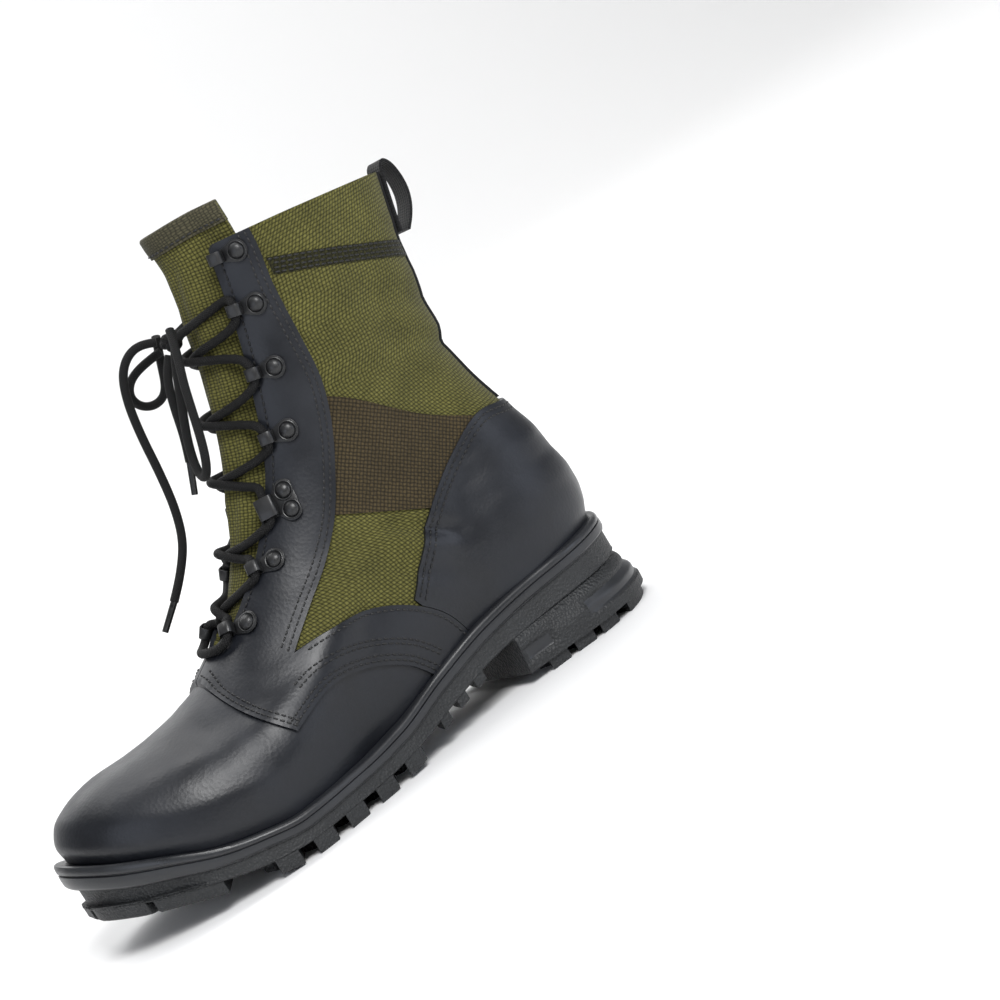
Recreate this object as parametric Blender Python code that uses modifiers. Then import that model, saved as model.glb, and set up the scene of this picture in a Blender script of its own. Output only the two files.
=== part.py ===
"""A jungle boot for the left foot: moulded lug sole, canvas and leather upper, speed lacing.

Metres, +X to the toe, +Y to the outer side of the foot, +Z up. The origin is on the floor,
under the middle of the heel, where the boot rests.
"""

import math

import bmesh
import bpy
from mathutils import Matrix, Vector
from mathutils.bvhtree import BVHTree

MM = 0.001

# Driving sizes of the last and the sole
SOLE_LENGTH = 306 * MM
HEEL_REACH = 40 * MM
BALL_WIDTH = 108 * MM
HEEL_HEIGHT = 46 * MM
BOOT_HEIGHT = 250 * MM

# Walls, layers and clearances
UPPER_WALL = 2.0 * MM
OVERLAY_WALL = 1.5 * MM
WEBBING_WALL = 1.0 * MM
TONGUE_WALL = 2.6 * MM
INSOLE_THICKNESS = 3.0 * MM
GAP = 0.3 * MM

# The tray that the upper stands in, and the steps of the sole's side
BED_DEPTH = 9.0 * MM
RAND_LIP = 2.4 * MM
RAND_GROOVE = 0.9 * MM
WALL_STEP = 1.6 * MM
BUMPER_RECESS = 2.6 * MM
BUMPER_START = 0.84

# Heel block and lugs
LATERAL_BREAST = 84 * MM
MEDIAL_BREAST = 94 * MM
HEEL_FLARE = 4.5 * MM
HEEL_LUG = 5.5 * MM
LUG_INSET = 2.0 * MM
LUG_SINK = 1.5 * MM

# Tongue
TONGUE_TUCK = 9.0 * MM
TONGUE_CLEARANCE = 1.0 * MM
TONGUE_BULGE = 8.5 * MM
BINDING_DEPTH = 10.0 * MM
BINDING_WALL = 0.9 * MM

# Back tape and pull loop
TAPE_WIDTH = 19 * MM
LOOP_WIDTH = 17 * MM
LOOP_WALL = 1.4 * MM
LOOP_BULGE = 8.0 * MM

# Lace loops: a riveted plate with a tunnel at its front end
RIVET_SETBACK = 13.0 * MM
RIVET_HEAD = 7.6 * MM
RIVET_RISE = 2.4 * MM
PLATE_WALL = 0.9 * MM
PLATE_WIDTH = 10.5 * MM
TUNNEL_WIDTH = 5.6 * MM
TUNNEL_LENGTH = 7.0 * MM
TUNNEL_WALL = 0.8 * MM
TUNNEL_REACH = 9.8 * MM
CLAMP_LENGTH = 9.0 * MM
CLAMP_WIDTH = 10.0 * MM

# Lace
LACE_DIAMETER = 4.2 * MM
LACE_CLEARANCE = 1.2 * MM
LACE_STEP = 0.2 * MM
LACE_DROP = 40 * MM
LACE_EASE = 3 * MM
MOUTH_RINGS = (0.3, 0.55)
LACE_BEVEL = 2
AGLET_DIAMETER = 3.4 * MM
AGLET_LENGTH = 15 * MM

# One column count serves the sole and the upper, so that their facets lie parallel
COLUMNS = 32


def table(names, rows):
    """A table as named columns."""
    return {name: [row[place] for row in rows] for place, name in enumerate(names.split())}


# Sole from heel to toe. share is of SOLE_LENGTH; fullness is the half width, as a share of
# BALL_WIDTH, of the ellipse that fits there; centre is where the middle line swings, as a
# share of BALL_WIDTH; the heights are shares of HEEL_HEIGHT above the floor.
SOLE = table(
    "share fullness centre rand_top band underside tread",
    (
        (0.00, 0.660, 0.000, 1.00, 0.19, 0.56, 0.46),
        (0.10, 0.570, 0.000, 0.98, 0.19, 0.56, 0.46),
        (0.20, 0.445, 0.000, 0.94, 0.19, 0.53, 0.44),
        (0.30, 0.390, 0.008, 0.86, 0.19, 0.48, 0.38),
        (0.40, 0.370, 0.016, 0.70, 0.18, 0.34, 0.24),
        (0.50, 0.405, 0.020, 0.52, 0.17, 0.20, 0.05),
        (0.58, 0.450, 0.018, 0.455, 0.16, 0.155, 0.00),
        (0.70, 0.570, 0.006, 0.44, 0.16, 0.155, 0.00),
        (0.76, 0.610, -0.006, 0.50, 0.16, 0.19, 0.04),
        (0.82, 0.640, -0.022, 0.60, 0.19, 0.27, 0.13),
        (0.89, 0.665, -0.048, 0.80, 0.25, 0.39, 0.26),
        (0.95, 0.690, -0.072, 0.97, 0.28, 0.50, 0.37),
        (1.00, 0.700, -0.090, 1.14, 0.29, 0.61, 0.49),
    ),
)

# Upper, ring over ring from the sole to the collar. back and front are the ends of a ring,
# as shares of SOLE_LENGTH from the origin; rises are above the rand, as shares of the height
# from the heel's rand to the collar; follow is how far a ring keeps to the rand's curve;
# w10 to w90 are half widths at tenths of the ring, and gap half the throat's opening, as
# shares of BALL_WIDTH.
RINGS = table(
    "name back back_rise front front_rise follow w10 w30 w50 w70 w90 gap",
    (
        ("feather", -0.110, -0.043, 0.842, -0.043, 1.00, 0.282, 0.288, 0.312, 0.440, 0.355, 0.00),
        ("rand", -0.113, 0.004, 0.848, 0.004, 1.00, 0.294, 0.300, 0.324, 0.454, 0.370, 0.00),
        ("toe wall", -0.125, 0.049, 0.851, 0.035, 1.00, 0.303, 0.310, 0.336, 0.464, 0.380, 0.00),
        ("toe crown", -0.130, 0.088, 0.838, 0.087, 1.00, 0.306, 0.315, 0.345, 0.468, 0.378, 0.00),
        ("toe top", -0.130, 0.123, 0.810, 0.134, 1.00, 0.303, 0.315, 0.347, 0.453, 0.360, 0.00),
        ("vamp toe", -0.126, 0.157, 0.754, 0.191, 1.00, 0.295, 0.310, 0.340, 0.415, 0.325, 0.00),
        ("vamp low", -0.121, 0.186, 0.682, 0.238, 1.00, 0.280, 0.300, 0.325, 0.370, 0.250, 0.00),
        ("vamp", -0.118, 0.216, 0.610, 0.266, 0.90, 0.270, 0.290, 0.310, 0.340, 0.225, 0.00),
        ("vamp high", -0.115, 0.245, 0.554, 0.273, 0.70, 0.260, 0.280, 0.300, 0.315, 0.220, 0.00),
        ("throat", -0.110, 0.270, 0.515, 0.279, 0.50, 0.245, 0.275, 0.290, 0.305, 0.215, 0.00),
        ("instep low", -0.103, 0.299, 0.482, 0.299, 0.35, 0.230, 0.265, 0.285, 0.295, 0.210, 0.11),
        ("instep", -0.097, 0.328, 0.443, 0.328, 0.20, 0.220, 0.260, 0.280, 0.285, 0.205, 0.13),
        ("instep high", -0.089, 0.363, 0.400, 0.374, 0.10, 0.205, 0.255, 0.280, 0.285, 0.200, 0.14),
        ("instep top", -0.079, 0.407, 0.361, 0.431, 0.00, 0.195, 0.255, 0.285, 0.285, 0.200, 0.15),
        ("ankle low", -0.070, 0.456, 0.328, 0.505, 0.00, 0.190, 0.260, 0.295, 0.290, 0.200, 0.16),
        ("ankle", -0.064, 0.505, 0.302, 0.588, 0.00, 0.190, 0.270, 0.310, 0.295, 0.205, 0.17),
        ("ankle top", -0.066, 0.564, 0.282, 0.676, 0.00, 0.195, 0.280, 0.325, 0.305, 0.210, 0.18),
        ("shaft low", -0.072, 0.637, 0.262, 0.770, 0.00, 0.200, 0.290, 0.340, 0.315, 0.215, 0.19),
        ("shaft", -0.079, 0.725, 0.249, 0.863, 0.00, 0.210, 0.305, 0.350, 0.330, 0.220, 0.20),
        ("shaft high", -0.092, 0.824, 0.236, 0.941, 0.00, 0.220, 0.315, 0.360, 0.340, 0.225, 0.20),
        ("collar", -0.111, 0.936, 0.230, 1.000, 0.00, 0.220, 0.320, 0.365, 0.345, 0.230, 0.21),
        ("above collar", -0.128, 1.034, 0.233, 1.088, 0.00, 0.220, 0.320, 0.365, 0.345, 0.230, 0.21),
    ),
)
RAND_RING = RINGS["name"].index("rand")
THROAT_RING = RINGS["name"].index("throat")
COLLAR_RING = RINGS["name"].index("collar")
TONGUE_TOP_RING = RINGS["name"].index("above collar")

# Seam lines seen from the outer side. x is a share of SOLE_LENGTH from the origin and z a
# share of BOOT_HEIGHT, each line from its upper or rear end.
EYESTAY_REAR = table(
    "x z",
    (
        (0.148, 1.060),
        (0.152, 0.960),
        (0.163, 0.880),
        (0.168, 0.780),
        (0.177, 0.680),
        (0.207, 0.584),
        (0.262, 0.476),
        (0.315, 0.412),
        (0.375, 0.360),
        (0.436, 0.308),
    ),
)
WING_TOP = table(
    "x z",
    (
        (0.436, 0.308),
        (0.380, 0.308),
        (0.312, 0.298),
        (0.252, 0.262),
        (0.205, 0.205),
        (0.180, 0.130),
    ),
)
WING_LOW = table(
    "x z",
    (
        (0.262, 0.110),
        (0.300, 0.170),
        (0.360, 0.212),
        (0.428, 0.226),
        (0.506, 0.200),
    ),
)
EYESTAY_TOE = table(
    "x z",
    (
        (0.506, 0.200),
        (0.540, 0.258),
        (0.555, 0.318),
        (0.542, 0.372),
        (0.520, 0.420),
    ),
)
COUNTER_EDGE = table(
    "x z",
    (
        (-0.200, 0.452),
        (-0.095, 0.460),
        (-0.020, 0.474),
        (0.055, 0.438),
        (0.135, 0.378),
        (0.205, 0.300),
        (0.238, 0.262),
    ),
)
PATCH_TOP = table("x z", ((0.150, 0.660), (0.060, 0.545), (-0.010, 0.480)))
PATCH_LOW = table("x z", ((0.256, 0.462), (0.200, 0.425), (0.140, 0.385)))
EYESTAY_FRONT_REACH = 0.75

# Chevrons of the forefoot, bars of the waist and lugs of the heel, as shares of SOLE_LENGTH
LATERAL_CHEVRONS = (0.505, 0.567, 0.629, 0.691, 0.753)
MEDIAL_CHEVRONS = (0.540, 0.606, 0.672, 0.738)
CENTRE_LUGS = (0.545, 0.617, 0.689, 0.761)
WAIST_BARS = (0.345, 0.385, 0.425)
HEEL_BARS = (0.118, 0.168, 0.218)
TOE_CENTRE = 0.785
TOE_PLATE_INNER = 17 * MM
TOE_PLATE_OUTER = 120 * MM
TOE_GROOVE = 0.07
TOE_GROOVE_ANGLES = (-1.35, -0.62, -0.05, 0.55, 1.25)

# Lace loops up the eyestay: the ring that each stands on, from the lowest
LACE_ROWS = (9.75, 11.45, 13.0, 14.8, 16.4, 17.95, 19.5)
CLAMP_ROW = 2
LACED_ROWS = 6
CROSSING_SHARES = (0.18, 0.26, 0.34, 0.42, 0.5, 0.58, 0.66, 0.74, 0.82)

# The pull loop's foot, a ring, and the binding's depth, in rings
LOOP_FOOT_RING = 18.7
BINDING_RINGS = 0.5

# The bow, in millimetres from the origin: chosen by hand, hanging down the lacing
KNOT_CENTRE = (93.0, 0.0, 221.0)
KNOT_HALF_SIZE = (5.0, 7.0, 5.5)
BOW_ROUTES = {
    "lace_bow_long": (
        (96, 10, 219),
        (102, 13, 212),
        (106, 13, 200),
        (109, 12, 187),
        (113, 12, 174),
        (118, 13, 163),
        (121, 18, 157),
        (118, 23, 162),
        (113, 22, 175),
        (110, 21, 189),
        (107, 21, 203),
        (101, 20, 215),
        (95, 12, 226),
    ),
    "lace_bow_short": (
        (97, -10, 219),
        (104, -15, 212),
        (108, -20, 203),
        (106, -25, 196),
        (102, -27, 200),
        (99, -24, 211),
        (96, -17, 220),
        (95, -11, 226),
    ),
    "lace_end_long": (
        (99, -2, 224),
        (108, -6, 227),
        (117, -10, 221),
        (122, -13, 208),
        (125, -14, 191),
        (127, -14, 173),
        (130, -14, 155),
        (135, -15, 140),
        (144, -16, 128),
        (153, -17, 119),
    ),
    "lace_end_short": (
        (98, 1, 216),
        (104, 0, 208),
        (108, -2, 195),
        (111, -3, 182),
        (115, -4, 170),
    ),
}
AGLETS = {
    "aglet_long": ((153.4, -17.0, 118.6), (164.0, -18.0, 109.5)),
    "aglet_short": ((115.2, -4.0, 169.4), (121.0, -5.0, 156.0)),
}

LEATHER = (0.016, 0.017, 0.020)
CANVAS = (0.105, 0.115, 0.032)
PATCH_WEBBING = (0.075, 0.062, 0.035)
BLACK_WEBBING = (0.014, 0.014, 0.015)
RUBBER = (0.018, 0.018, 0.020)
BINDING = (0.085, 0.080, 0.058)
LACQUER = (0.020, 0.020, 0.022)
LACE_BLACK = (0.010, 0.010, 0.011)


# Start from an empty scene

for leftover in list(bpy.data.objects):
    bpy.data.objects.remove(leftover, do_unlink=True)

boot = bpy.data.collections.new("jungle_boot")
cutters = bpy.data.collections.new("cutters")
bpy.context.scene.collection.children.link(boot)
bpy.context.scene.collection.children.link(cutters)


def material(name, colour, roughness, metallic=0.0):
    """A Principled material."""
    made = bpy.data.materials.new(name)
    made.use_nodes = True
    shader = made.node_tree.nodes["Principled BSDF"]
    shader.inputs["Base Color"].default_value = (*colour, 1.0)
    shader.inputs["Roughness"].default_value = roughness
    shader.inputs["Metallic"].default_value = metallic
    return made


rubber = material("black rubber", RUBBER, 0.55)
canvas = material("olive canvas", CANVAS, 0.85)
leather = material("black leather", LEATHER, 0.42)
patch_webbing = material("olive nylon webbing", PATCH_WEBBING, 0.8)
black_webbing = material("black webbing", BLACK_WEBBING, 0.7)
binding_cloth = material("tongue binding", BINDING, 0.85)
lacquered_metal = material("lacquered metal", LACQUER, 0.35, 1.0)
lace_cord = material("lace cord", LACE_BLACK, 0.8)
insole_felt = material("insole felt", BLACK_WEBBING, 0.9)


def add_mesh(name, shape, finish=None):
    """An object from a bmesh: a part where it has a finish, else a cutter."""
    mesh = bpy.data.meshes.new(name)
    shape.to_mesh(mesh)
    shape.free()
    made = bpy.data.objects.new(name, mesh)
    if finish is None:
        cutters.objects.link(made)
        made.hide_render = True
        made.display_type = "WIRE"
    else:
        boot.objects.link(made)
        mesh.materials.append(finish)
    return made


def combine(target, operation, tool):
    """A live Boolean on target."""
    step = target.modifiers.new(operation.lower(), "BOOLEAN")
    step.operation = operation
    step.solver = "EXACT"
    step.object = tool


def smooth(shares, values, share):
    """The value at a share, on a curve through the rows that never overshoots them."""
    share = min(max(share, shares[0]), shares[-1])
    last = len(shares) - 1
    place = 0
    while place < last - 1 and share > shares[place + 1]:
        place += 1

    def slope(row):
        if row == 0 or row == last:
            near = max(row - 1, 0)
            return (values[near + 1] - values[near]) / (shares[near + 1] - shares[near])
        before = (values[row] - values[row - 1]) / (shares[row] - shares[row - 1])
        after = (values[row + 1] - values[row]) / (shares[row + 1] - shares[row])
        if before * after <= 0:
            return 0.0
        return 2 * before * after / (before + after)

    width = shares[place + 1] - shares[place]
    part = (share - shares[place]) / width
    rise = slope(place) * width
    land = slope(place + 1) * width
    first, second = values[place], values[place + 1]
    return (
        (2 * part**3 - 3 * part**2 + 1) * first
        + (part**3 - 2 * part**2 + part) * rise
        + (3 * part**2 - 2 * part**3) * second
        + (part**3 - part**2) * land
    )


def curve_through(points, steps):
    """Points on a smooth curve through the given ones, steps to a span."""
    found = []
    last = len(points) - 1
    for span in range(last):
        p0 = points[max(span - 1, 0)]
        p1 = points[span]
        p2 = points[span + 1]
        p3 = points[min(span + 2, last)]
        for step in range(steps):
            t = step / steps
            found.append(
                0.5
                * (
                    2 * p1
                    + (p2 - p0) * t
                    + (2 * p0 - 5 * p1 + 4 * p2 - p3) * t**2
                    + (3 * p1 - 3 * p2 + p3 - p0) * t**3
                )
            )
    found.append(points[-1])
    return found


# Sole and upper as functions of the sizes

def sole_share(x):
    """Where x lies along the sole, from 0 at the heel to 1 at the toe."""
    return min(max((x + HEEL_REACH) / SOLE_LENGTH, 0.0), 1.0)


def sole_height(column, x):
    """A height column of the sole at x."""
    return smooth(SOLE["share"], SOLE[column], sole_share(x)) * HEEL_HEIGHT


def sole_centre(x):
    """How far the sole's middle line has swung at x."""
    return smooth(SOLE["share"], SOLE["centre"], sole_share(x)) * BALL_WIDTH


def sole_outline():
    """The sole's widest outline, a column to each angle from the heel round by +Y."""
    points = []
    for column in range(COLUMNS):
        angle = math.tau * column / COLUMNS
        share = (1 - math.cos(angle)) / 2
        x = SOLE_LENGTH * share - HEEL_REACH
        half = smooth(SOLE["share"], SOLE["fullness"], share) * BALL_WIDTH
        points.append(Vector((x, sole_centre(x) + half * math.sin(angle), 0)))
    return points


def grown(loop, amount):
    """A flat loop moved outwards by amount, one number or one for each point."""
    count = len(loop)
    amounts = amount if isinstance(amount, list) else [amount] * count
    moved = []
    for place, point in enumerate(loop):
        along = loop[(place + 1) % count] - loop[place - 1]
        outward = Vector((-along.y, along.x, 0)).normalized()
        moved.append(Vector((point.x, point.y, 0)) + outward * amounts[place])
    return moved


def ring_value(name, ring):
    """A column of the rings at any place between two rings."""
    return smooth(list(range(len(RINGS["name"]))), RINGS[name], ring)


def ring_fullness(ring, share):
    """Half width of the ellipse that fits a ring at a share of its length."""
    stations = (0.1, 0.3, 0.5, 0.7, 0.9)
    widths = []
    for station in stations:
        width = ring_value("w%d" % round(station * 100), ring)
        widths.append(width / (2 * math.sqrt(station * (1 - station))))
    heel = widths[0] + 0.4 * (widths[0] - widths[1])
    toe = widths[-1] + 0.4 * (widths[-1] - widths[-2])
    return smooth([0.0, *stations, 1.0], [heel, *widths, toe], share) * BALL_WIDTH


def ring_point(ring, angle):
    """A point of the upper's outside: angle 0 at the back, pi at the front, + to the outer side."""
    share = (1 - math.cos(angle)) / 2
    back = ring_value("back", ring) * SOLE_LENGTH
    front = ring_value("front", ring) * SOLE_LENGTH
    x = back + (front - back) * share
    rise = ring_value("back_rise", ring) * (1 - share) + ring_value("front_rise", ring) * share
    follow = ring_value("follow", ring)
    z = HEEL_HEIGHT + follow * (sole_height("rand_top", x) - HEEL_HEIGHT)
    z += rise * (BOOT_HEIGHT - HEEL_HEIGHT)
    y = follow * sole_centre(x) + ring_fullness(ring, share) * math.sin(angle)
    return Vector((x, y, z))


def gap_angle(ring):
    """Half the angle that the throat opens at a ring."""
    if ring <= THROAT_RING:
        return 0.0
    return math.asin(ring_value("gap", ring) * BALL_WIDTH / ring_fullness(ring, 1.0))


def ring_normal(ring, angle):
    """The outward normal of the upper at a ring and an angle."""
    step = 0.02
    along = ring_point(ring, angle + step) - ring_point(ring, angle - step)
    low = max(ring - 0.3, 0.0)
    high = min(ring + 0.3, TONGUE_TOP_RING)
    up = ring_point(high, angle) - ring_point(low, angle)
    return up.cross(along).normalized()


def ring_columns(ring):
    """The angles of the upper's columns, from the inner side round the back to the outer."""
    reach = math.pi - gap_angle(ring)
    return [reach * (2 * column / COLUMNS - 1) for column in range(COLUMNS + 1)]


def strip_faces(shape, first, second, closed):
    """Quads between two rows of vertices."""
    count = len(first)
    for place in range(count if closed else count - 1):
        after = (place + 1) % count
        shape.faces.new((first[place], first[after], second[after], second[place]))


def upper_sheet(first_ring=0):
    """The outside of the upper as an open sheet, closed along the toe's ridge."""
    shape = bmesh.new()
    rows = []
    for ring in range(first_ring, COLLAR_RING + 1):
        rows.append([shape.verts.new(ring_point(ring, angle)) for angle in ring_columns(ring)])
    for low, high in zip(rows, rows[1:]):
        strip_faces(shape, low, high, closed=False)
    bmesh.ops.remove_doubles(shape, verts=shape.verts, dist=0.01 * MM)
    bmesh.ops.recalc_face_normals(shape, faces=shape.faces)
    middle = sum((face.calc_center_median().y * face.normal.y for face in shape.faces))
    if middle < 0:
        bmesh.ops.reverse_faces(shape, faces=shape.faces)
    bmesh.ops.triangulate(shape, faces=shape.faces, quad_method="SHORT_EDGE")
    return shape


def add_wall(thing, thickness, offset):
    """Give a sheet its wall: offset 1 builds outwards, -1 inwards."""
    wall = thing.modifiers.new("wall", "SOLIDIFY")
    wall.thickness = thickness
    wall.offset = offset
    wall.use_even_offset = False


def loft(loops, name, finish=None):
    """A solid through closed loops, each end closed by strips across from side to side."""
    shape = bmesh.new()
    rows = [[shape.verts.new(point) for point in loop] for loop in loops]
    for low, high in zip(rows, rows[1:]):
        strip_faces(shape, low, high, closed=True)
    count = len(loops[0])
    half = count // 2
    for row in (rows[0], rows[-1]):
        shape.faces.new((row[0], row[1], row[-1]))
        for place in range(1, half - 1):
            shape.faces.new((row[place], row[place + 1], row[-place - 1], row[-place]))
        shape.faces.new((row[half - 1], row[half], row[half + 1]))
    bmesh.ops.recalc_face_normals(shape, faces=shape.faces)
    return add_mesh(name, shape, finish)


def at_heights(loop, height):
    """A flat loop lifted to a height that is a function of x."""
    return [Vector((point.x, point.y, height(point.x))) for point in loop]


def prisms(outlines, low, high, name, axis="Z"):
    """A cutter of upright prisms on closed outlines; along Y the outlines are in X and Z."""
    shape = bmesh.new()
    for outline in outlines:
        if axis == "Z":
            base = [shape.verts.new((point.x, point.y, low)) for point in outline]
            lift = Vector((0, 0, high - low))
        elif axis == "Y":
            base = [shape.verts.new((point.x, low, point.y)) for point in outline]
            lift = Vector((0, high - low, 0))
        else:
            base = [shape.verts.new((low, point.x, point.y)) for point in outline]
            lift = Vector((high - low, 0, 0))
        face = shape.faces.new(base)
        raised = bmesh.ops.extrude_face_region(shape, geom=[face])["geom"]
        moved = [part for part in raised if isinstance(part, bmesh.types.BMVert)]
        bmesh.ops.translate(shape, vec=lift, verts=moved)
    bmesh.ops.recalc_face_normals(shape, faces=shape.faces)
    return add_mesh(name, shape)


# Outsole: a tray for the upper, a stepped side, a heel block and lugs

def rand_top(x):
    return sole_height("rand_top", x)


def bumper(x):
    """How much the side is recessed round the toe, from 0 to 1."""
    part = (sole_share(x) - BUMPER_START) / 0.06
    return min(max(part, 0.0), 1.0)


def build_outsole():
    outline = sole_outline()
    feather = [ring_point(0, math.tau * column / COLUMNS) for column in range(COLUMNS)]
    rand_line = [ring_point(RAND_RING, math.tau * column / COLUMNS) for column in range(COLUMNS)]
    recess = [-WALL_STEP - BUMPER_RECESS * bumper(point.x) for point in outline]

    def below_rand(share_of_band, drop=0.0):
        return lambda x: rand_top(x) - share_of_band * sole_height("band", x) - drop

    def underside(lift):
        return lambda x: sole_height("underside", x) + lift

    loops = (
        at_heights(grown(feather, GAP), below_rand(0, BED_DEPTH)),
        at_heights(grown(rand_line, GAP), rand_top),
        at_heights(grown(outline, -RAND_LIP), rand_top),
        at_heights(grown(outline, -RAND_LIP / 5), below_rand(0.18)),
        at_heights(grown(outline, -RAND_GROOVE), below_rand(0.40)),
        at_heights(outline, below_rand(0.55)),
        at_heights(outline, below_rand(0.90)),
        at_heights(grown(outline, recess), below_rand(1.05)),
        at_heights(grown(outline, recess), underside(WALL_STEP)),
        at_heights(grown(outline, -WALL_STEP * 0.9), underside(0)),
    )
    outsole = loft(loops, "outsole", rubber)
    combine(outsole, "UNION", build_heel_block(outline))
    combine(outsole, "UNION", build_lugs(outline))
    return outsole


def build_heel_block(outline):
    """The heel below the waist: flared at the back, cut off slantwise at its breast."""
    breast = (LATERAL_BREAST + MEDIAL_BREAST) / 2

    def flare(point, share):
        reach = 1 - (point.x + HEEL_REACH) / breast
        return share * HEEL_FLARE * min(max(reach, 0.0), 1.0) - 0.5 * MM

    def level(height):
        return lambda x: height

    top = sole_height("underside", 0)
    loops = (
        at_heights(grown(outline, -2 * WALL_STEP), level(top)),
        at_heights(grown(outline, [flare(point, 0.0) for point in outline]), level(0.8 * top)),
        at_heights(grown(outline, [flare(point, 1.0) for point in outline]), level(0.55 * top)),
        at_heights(grown(outline, [flare(point, 0.9) for point in outline]), level(HEEL_LUG)),
    )
    block = loft(loops, "heel_block")
    middle = Vector((breast - HEEL_REACH, 0, 0))
    slant = (MEDIAL_BREAST - LATERAL_BREAST) / (2 * BALL_WIDTH / 3)
    shape = bmesh.new()
    shape.from_mesh(block.data)
    cut = bmesh.ops.bisect_plane(
        shape,
        geom=shape.verts[:] + shape.edges[:] + shape.faces[:],
        plane_co=middle,
        plane_no=Vector((1, slant, 0.12)),
        clear_outer=True,
    )
    edges = [part for part in cut["geom_cut"] if isinstance(part, bmesh.types.BMEdge)]
    bmesh.ops.holes_fill(shape, edges=edges)
    bmesh.ops.recalc_face_normals(shape, faces=shape.faces)
    shape.to_mesh(block.data)
    shape.free()
    return block


def edge_at(outline, x, side):
    """How far the sole's outline is from its own axis at x, on one side."""
    half = COLUMNS // 2
    run = outline[: half + 1] if side > 0 else [outline[-place] for place in range(half + 1)]
    for first, second in zip(run, run[1:]):
        if first.x <= x <= second.x:
            part = (x - first.x) / max(second.x - first.x, 1e-9)
            return first.y + part * (second.y - first.y)
    return run[-1].y


def lug_shape(outline, share, side, local):
    """A lug's outline at the sole's edge: local points run forward and inward from the edge."""
    x = SOLE_LENGTH * share - HEEL_REACH
    edge = edge_at(outline, x, side)
    return [Vector((x + forward, edge - side * inward)) for forward, inward in local]


def chevron(size):
    """A tick with its long arm to the edge, its point inward and a short arm to the toe."""
    return [
        (forward * size, inward * size)
        for forward, inward in (
            (5 * MM, -4 * MM),
            (-6 * MM, -4 * MM),
            (-12 * MM, 19 * MM),
            (-2 * MM, 27 * MM),
            (6 * MM, 22 * MM),
            (3 * MM, 17 * MM),
            (-2 * MM, 18 * MM),
        )
    ]


def centre_lug(share):
    """A lug with two arms back to the sides and a stem to the toe."""
    x = SOLE_LENGTH * share - HEEL_REACH
    middle = sole_centre(x)
    half = (
        (12 * MM, 4 * MM),
        (4 * MM, 5 * MM),
        (-4 * MM, 14 * MM),
        (-10 * MM, 12 * MM),
        (-6 * MM, 4 * MM),
    )
    near = [Vector((x + forward, middle + aside)) for forward, aside in half]
    far = [Vector((x + forward, middle - aside)) for forward, aside in reversed(half)]
    return near + far


def toe_blocks():
    """The blocks of the toe plate, fanned round the toe between narrow grooves."""
    x = SOLE_LENGTH * TOE_CENTRE - HEEL_REACH
    middle = Vector((x, sole_centre(x)))
    blocks = []
    for start, end in zip(TOE_GROOVE_ANGLES, TOE_GROOVE_ANGLES[1:]):
        low, high = start + TOE_GROOVE / 2, end - TOE_GROOVE / 2
        angles = [low + (high - low) * step / 3 for step in range(4)]
        inner = [(TOE_PLATE_INNER, angle) for angle in angles]
        outer = [(TOE_PLATE_OUTER, angle) for angle in (high, low)]
        blocks.append(
            [middle + Vector((math.cos(a), math.sin(a))) * reach for reach, a in inner + outer]
        )
    return blocks


def build_lugs(outline):
    """All lugs as prisms, trimmed to the ground line and the sole's edge."""
    shapes = toe_blocks()
    shapes += [centre_lug(share) for share in CENTRE_LUGS]
    shapes += [lug_shape(outline, share, 1, chevron(1.0)) for share in LATERAL_CHEVRONS]
    shapes += [lug_shape(outline, share, -1, chevron(1.0)) for share in MEDIAL_CHEVRONS]
    bar = ((3 * MM, -4 * MM), (-3 * MM, -4 * MM), (-4 * MM, 13 * MM), (2 * MM, 13 * MM))
    for side in (1, -1):
        shapes += [lug_shape(outline, share, side, bar) for share in WAIST_BARS]
    top = sole_height("underside", 0) * 2
    lugs = prisms(shapes, -HEEL_LUG, top, "lugs")
    forefoot = (
        at_heights(grown(outline, -LUG_INSET), lambda x: sole_height("underside", x) + LUG_SINK),
        at_heights(grown(outline, -LUG_INSET), lambda x: sole_height("tread", x)),
    )
    combine(lugs, "INTERSECT", loft(forefoot, "tread_slab"))
    combine(lugs, "UNION", build_heel_lugs(outline))
    return lugs


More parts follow.
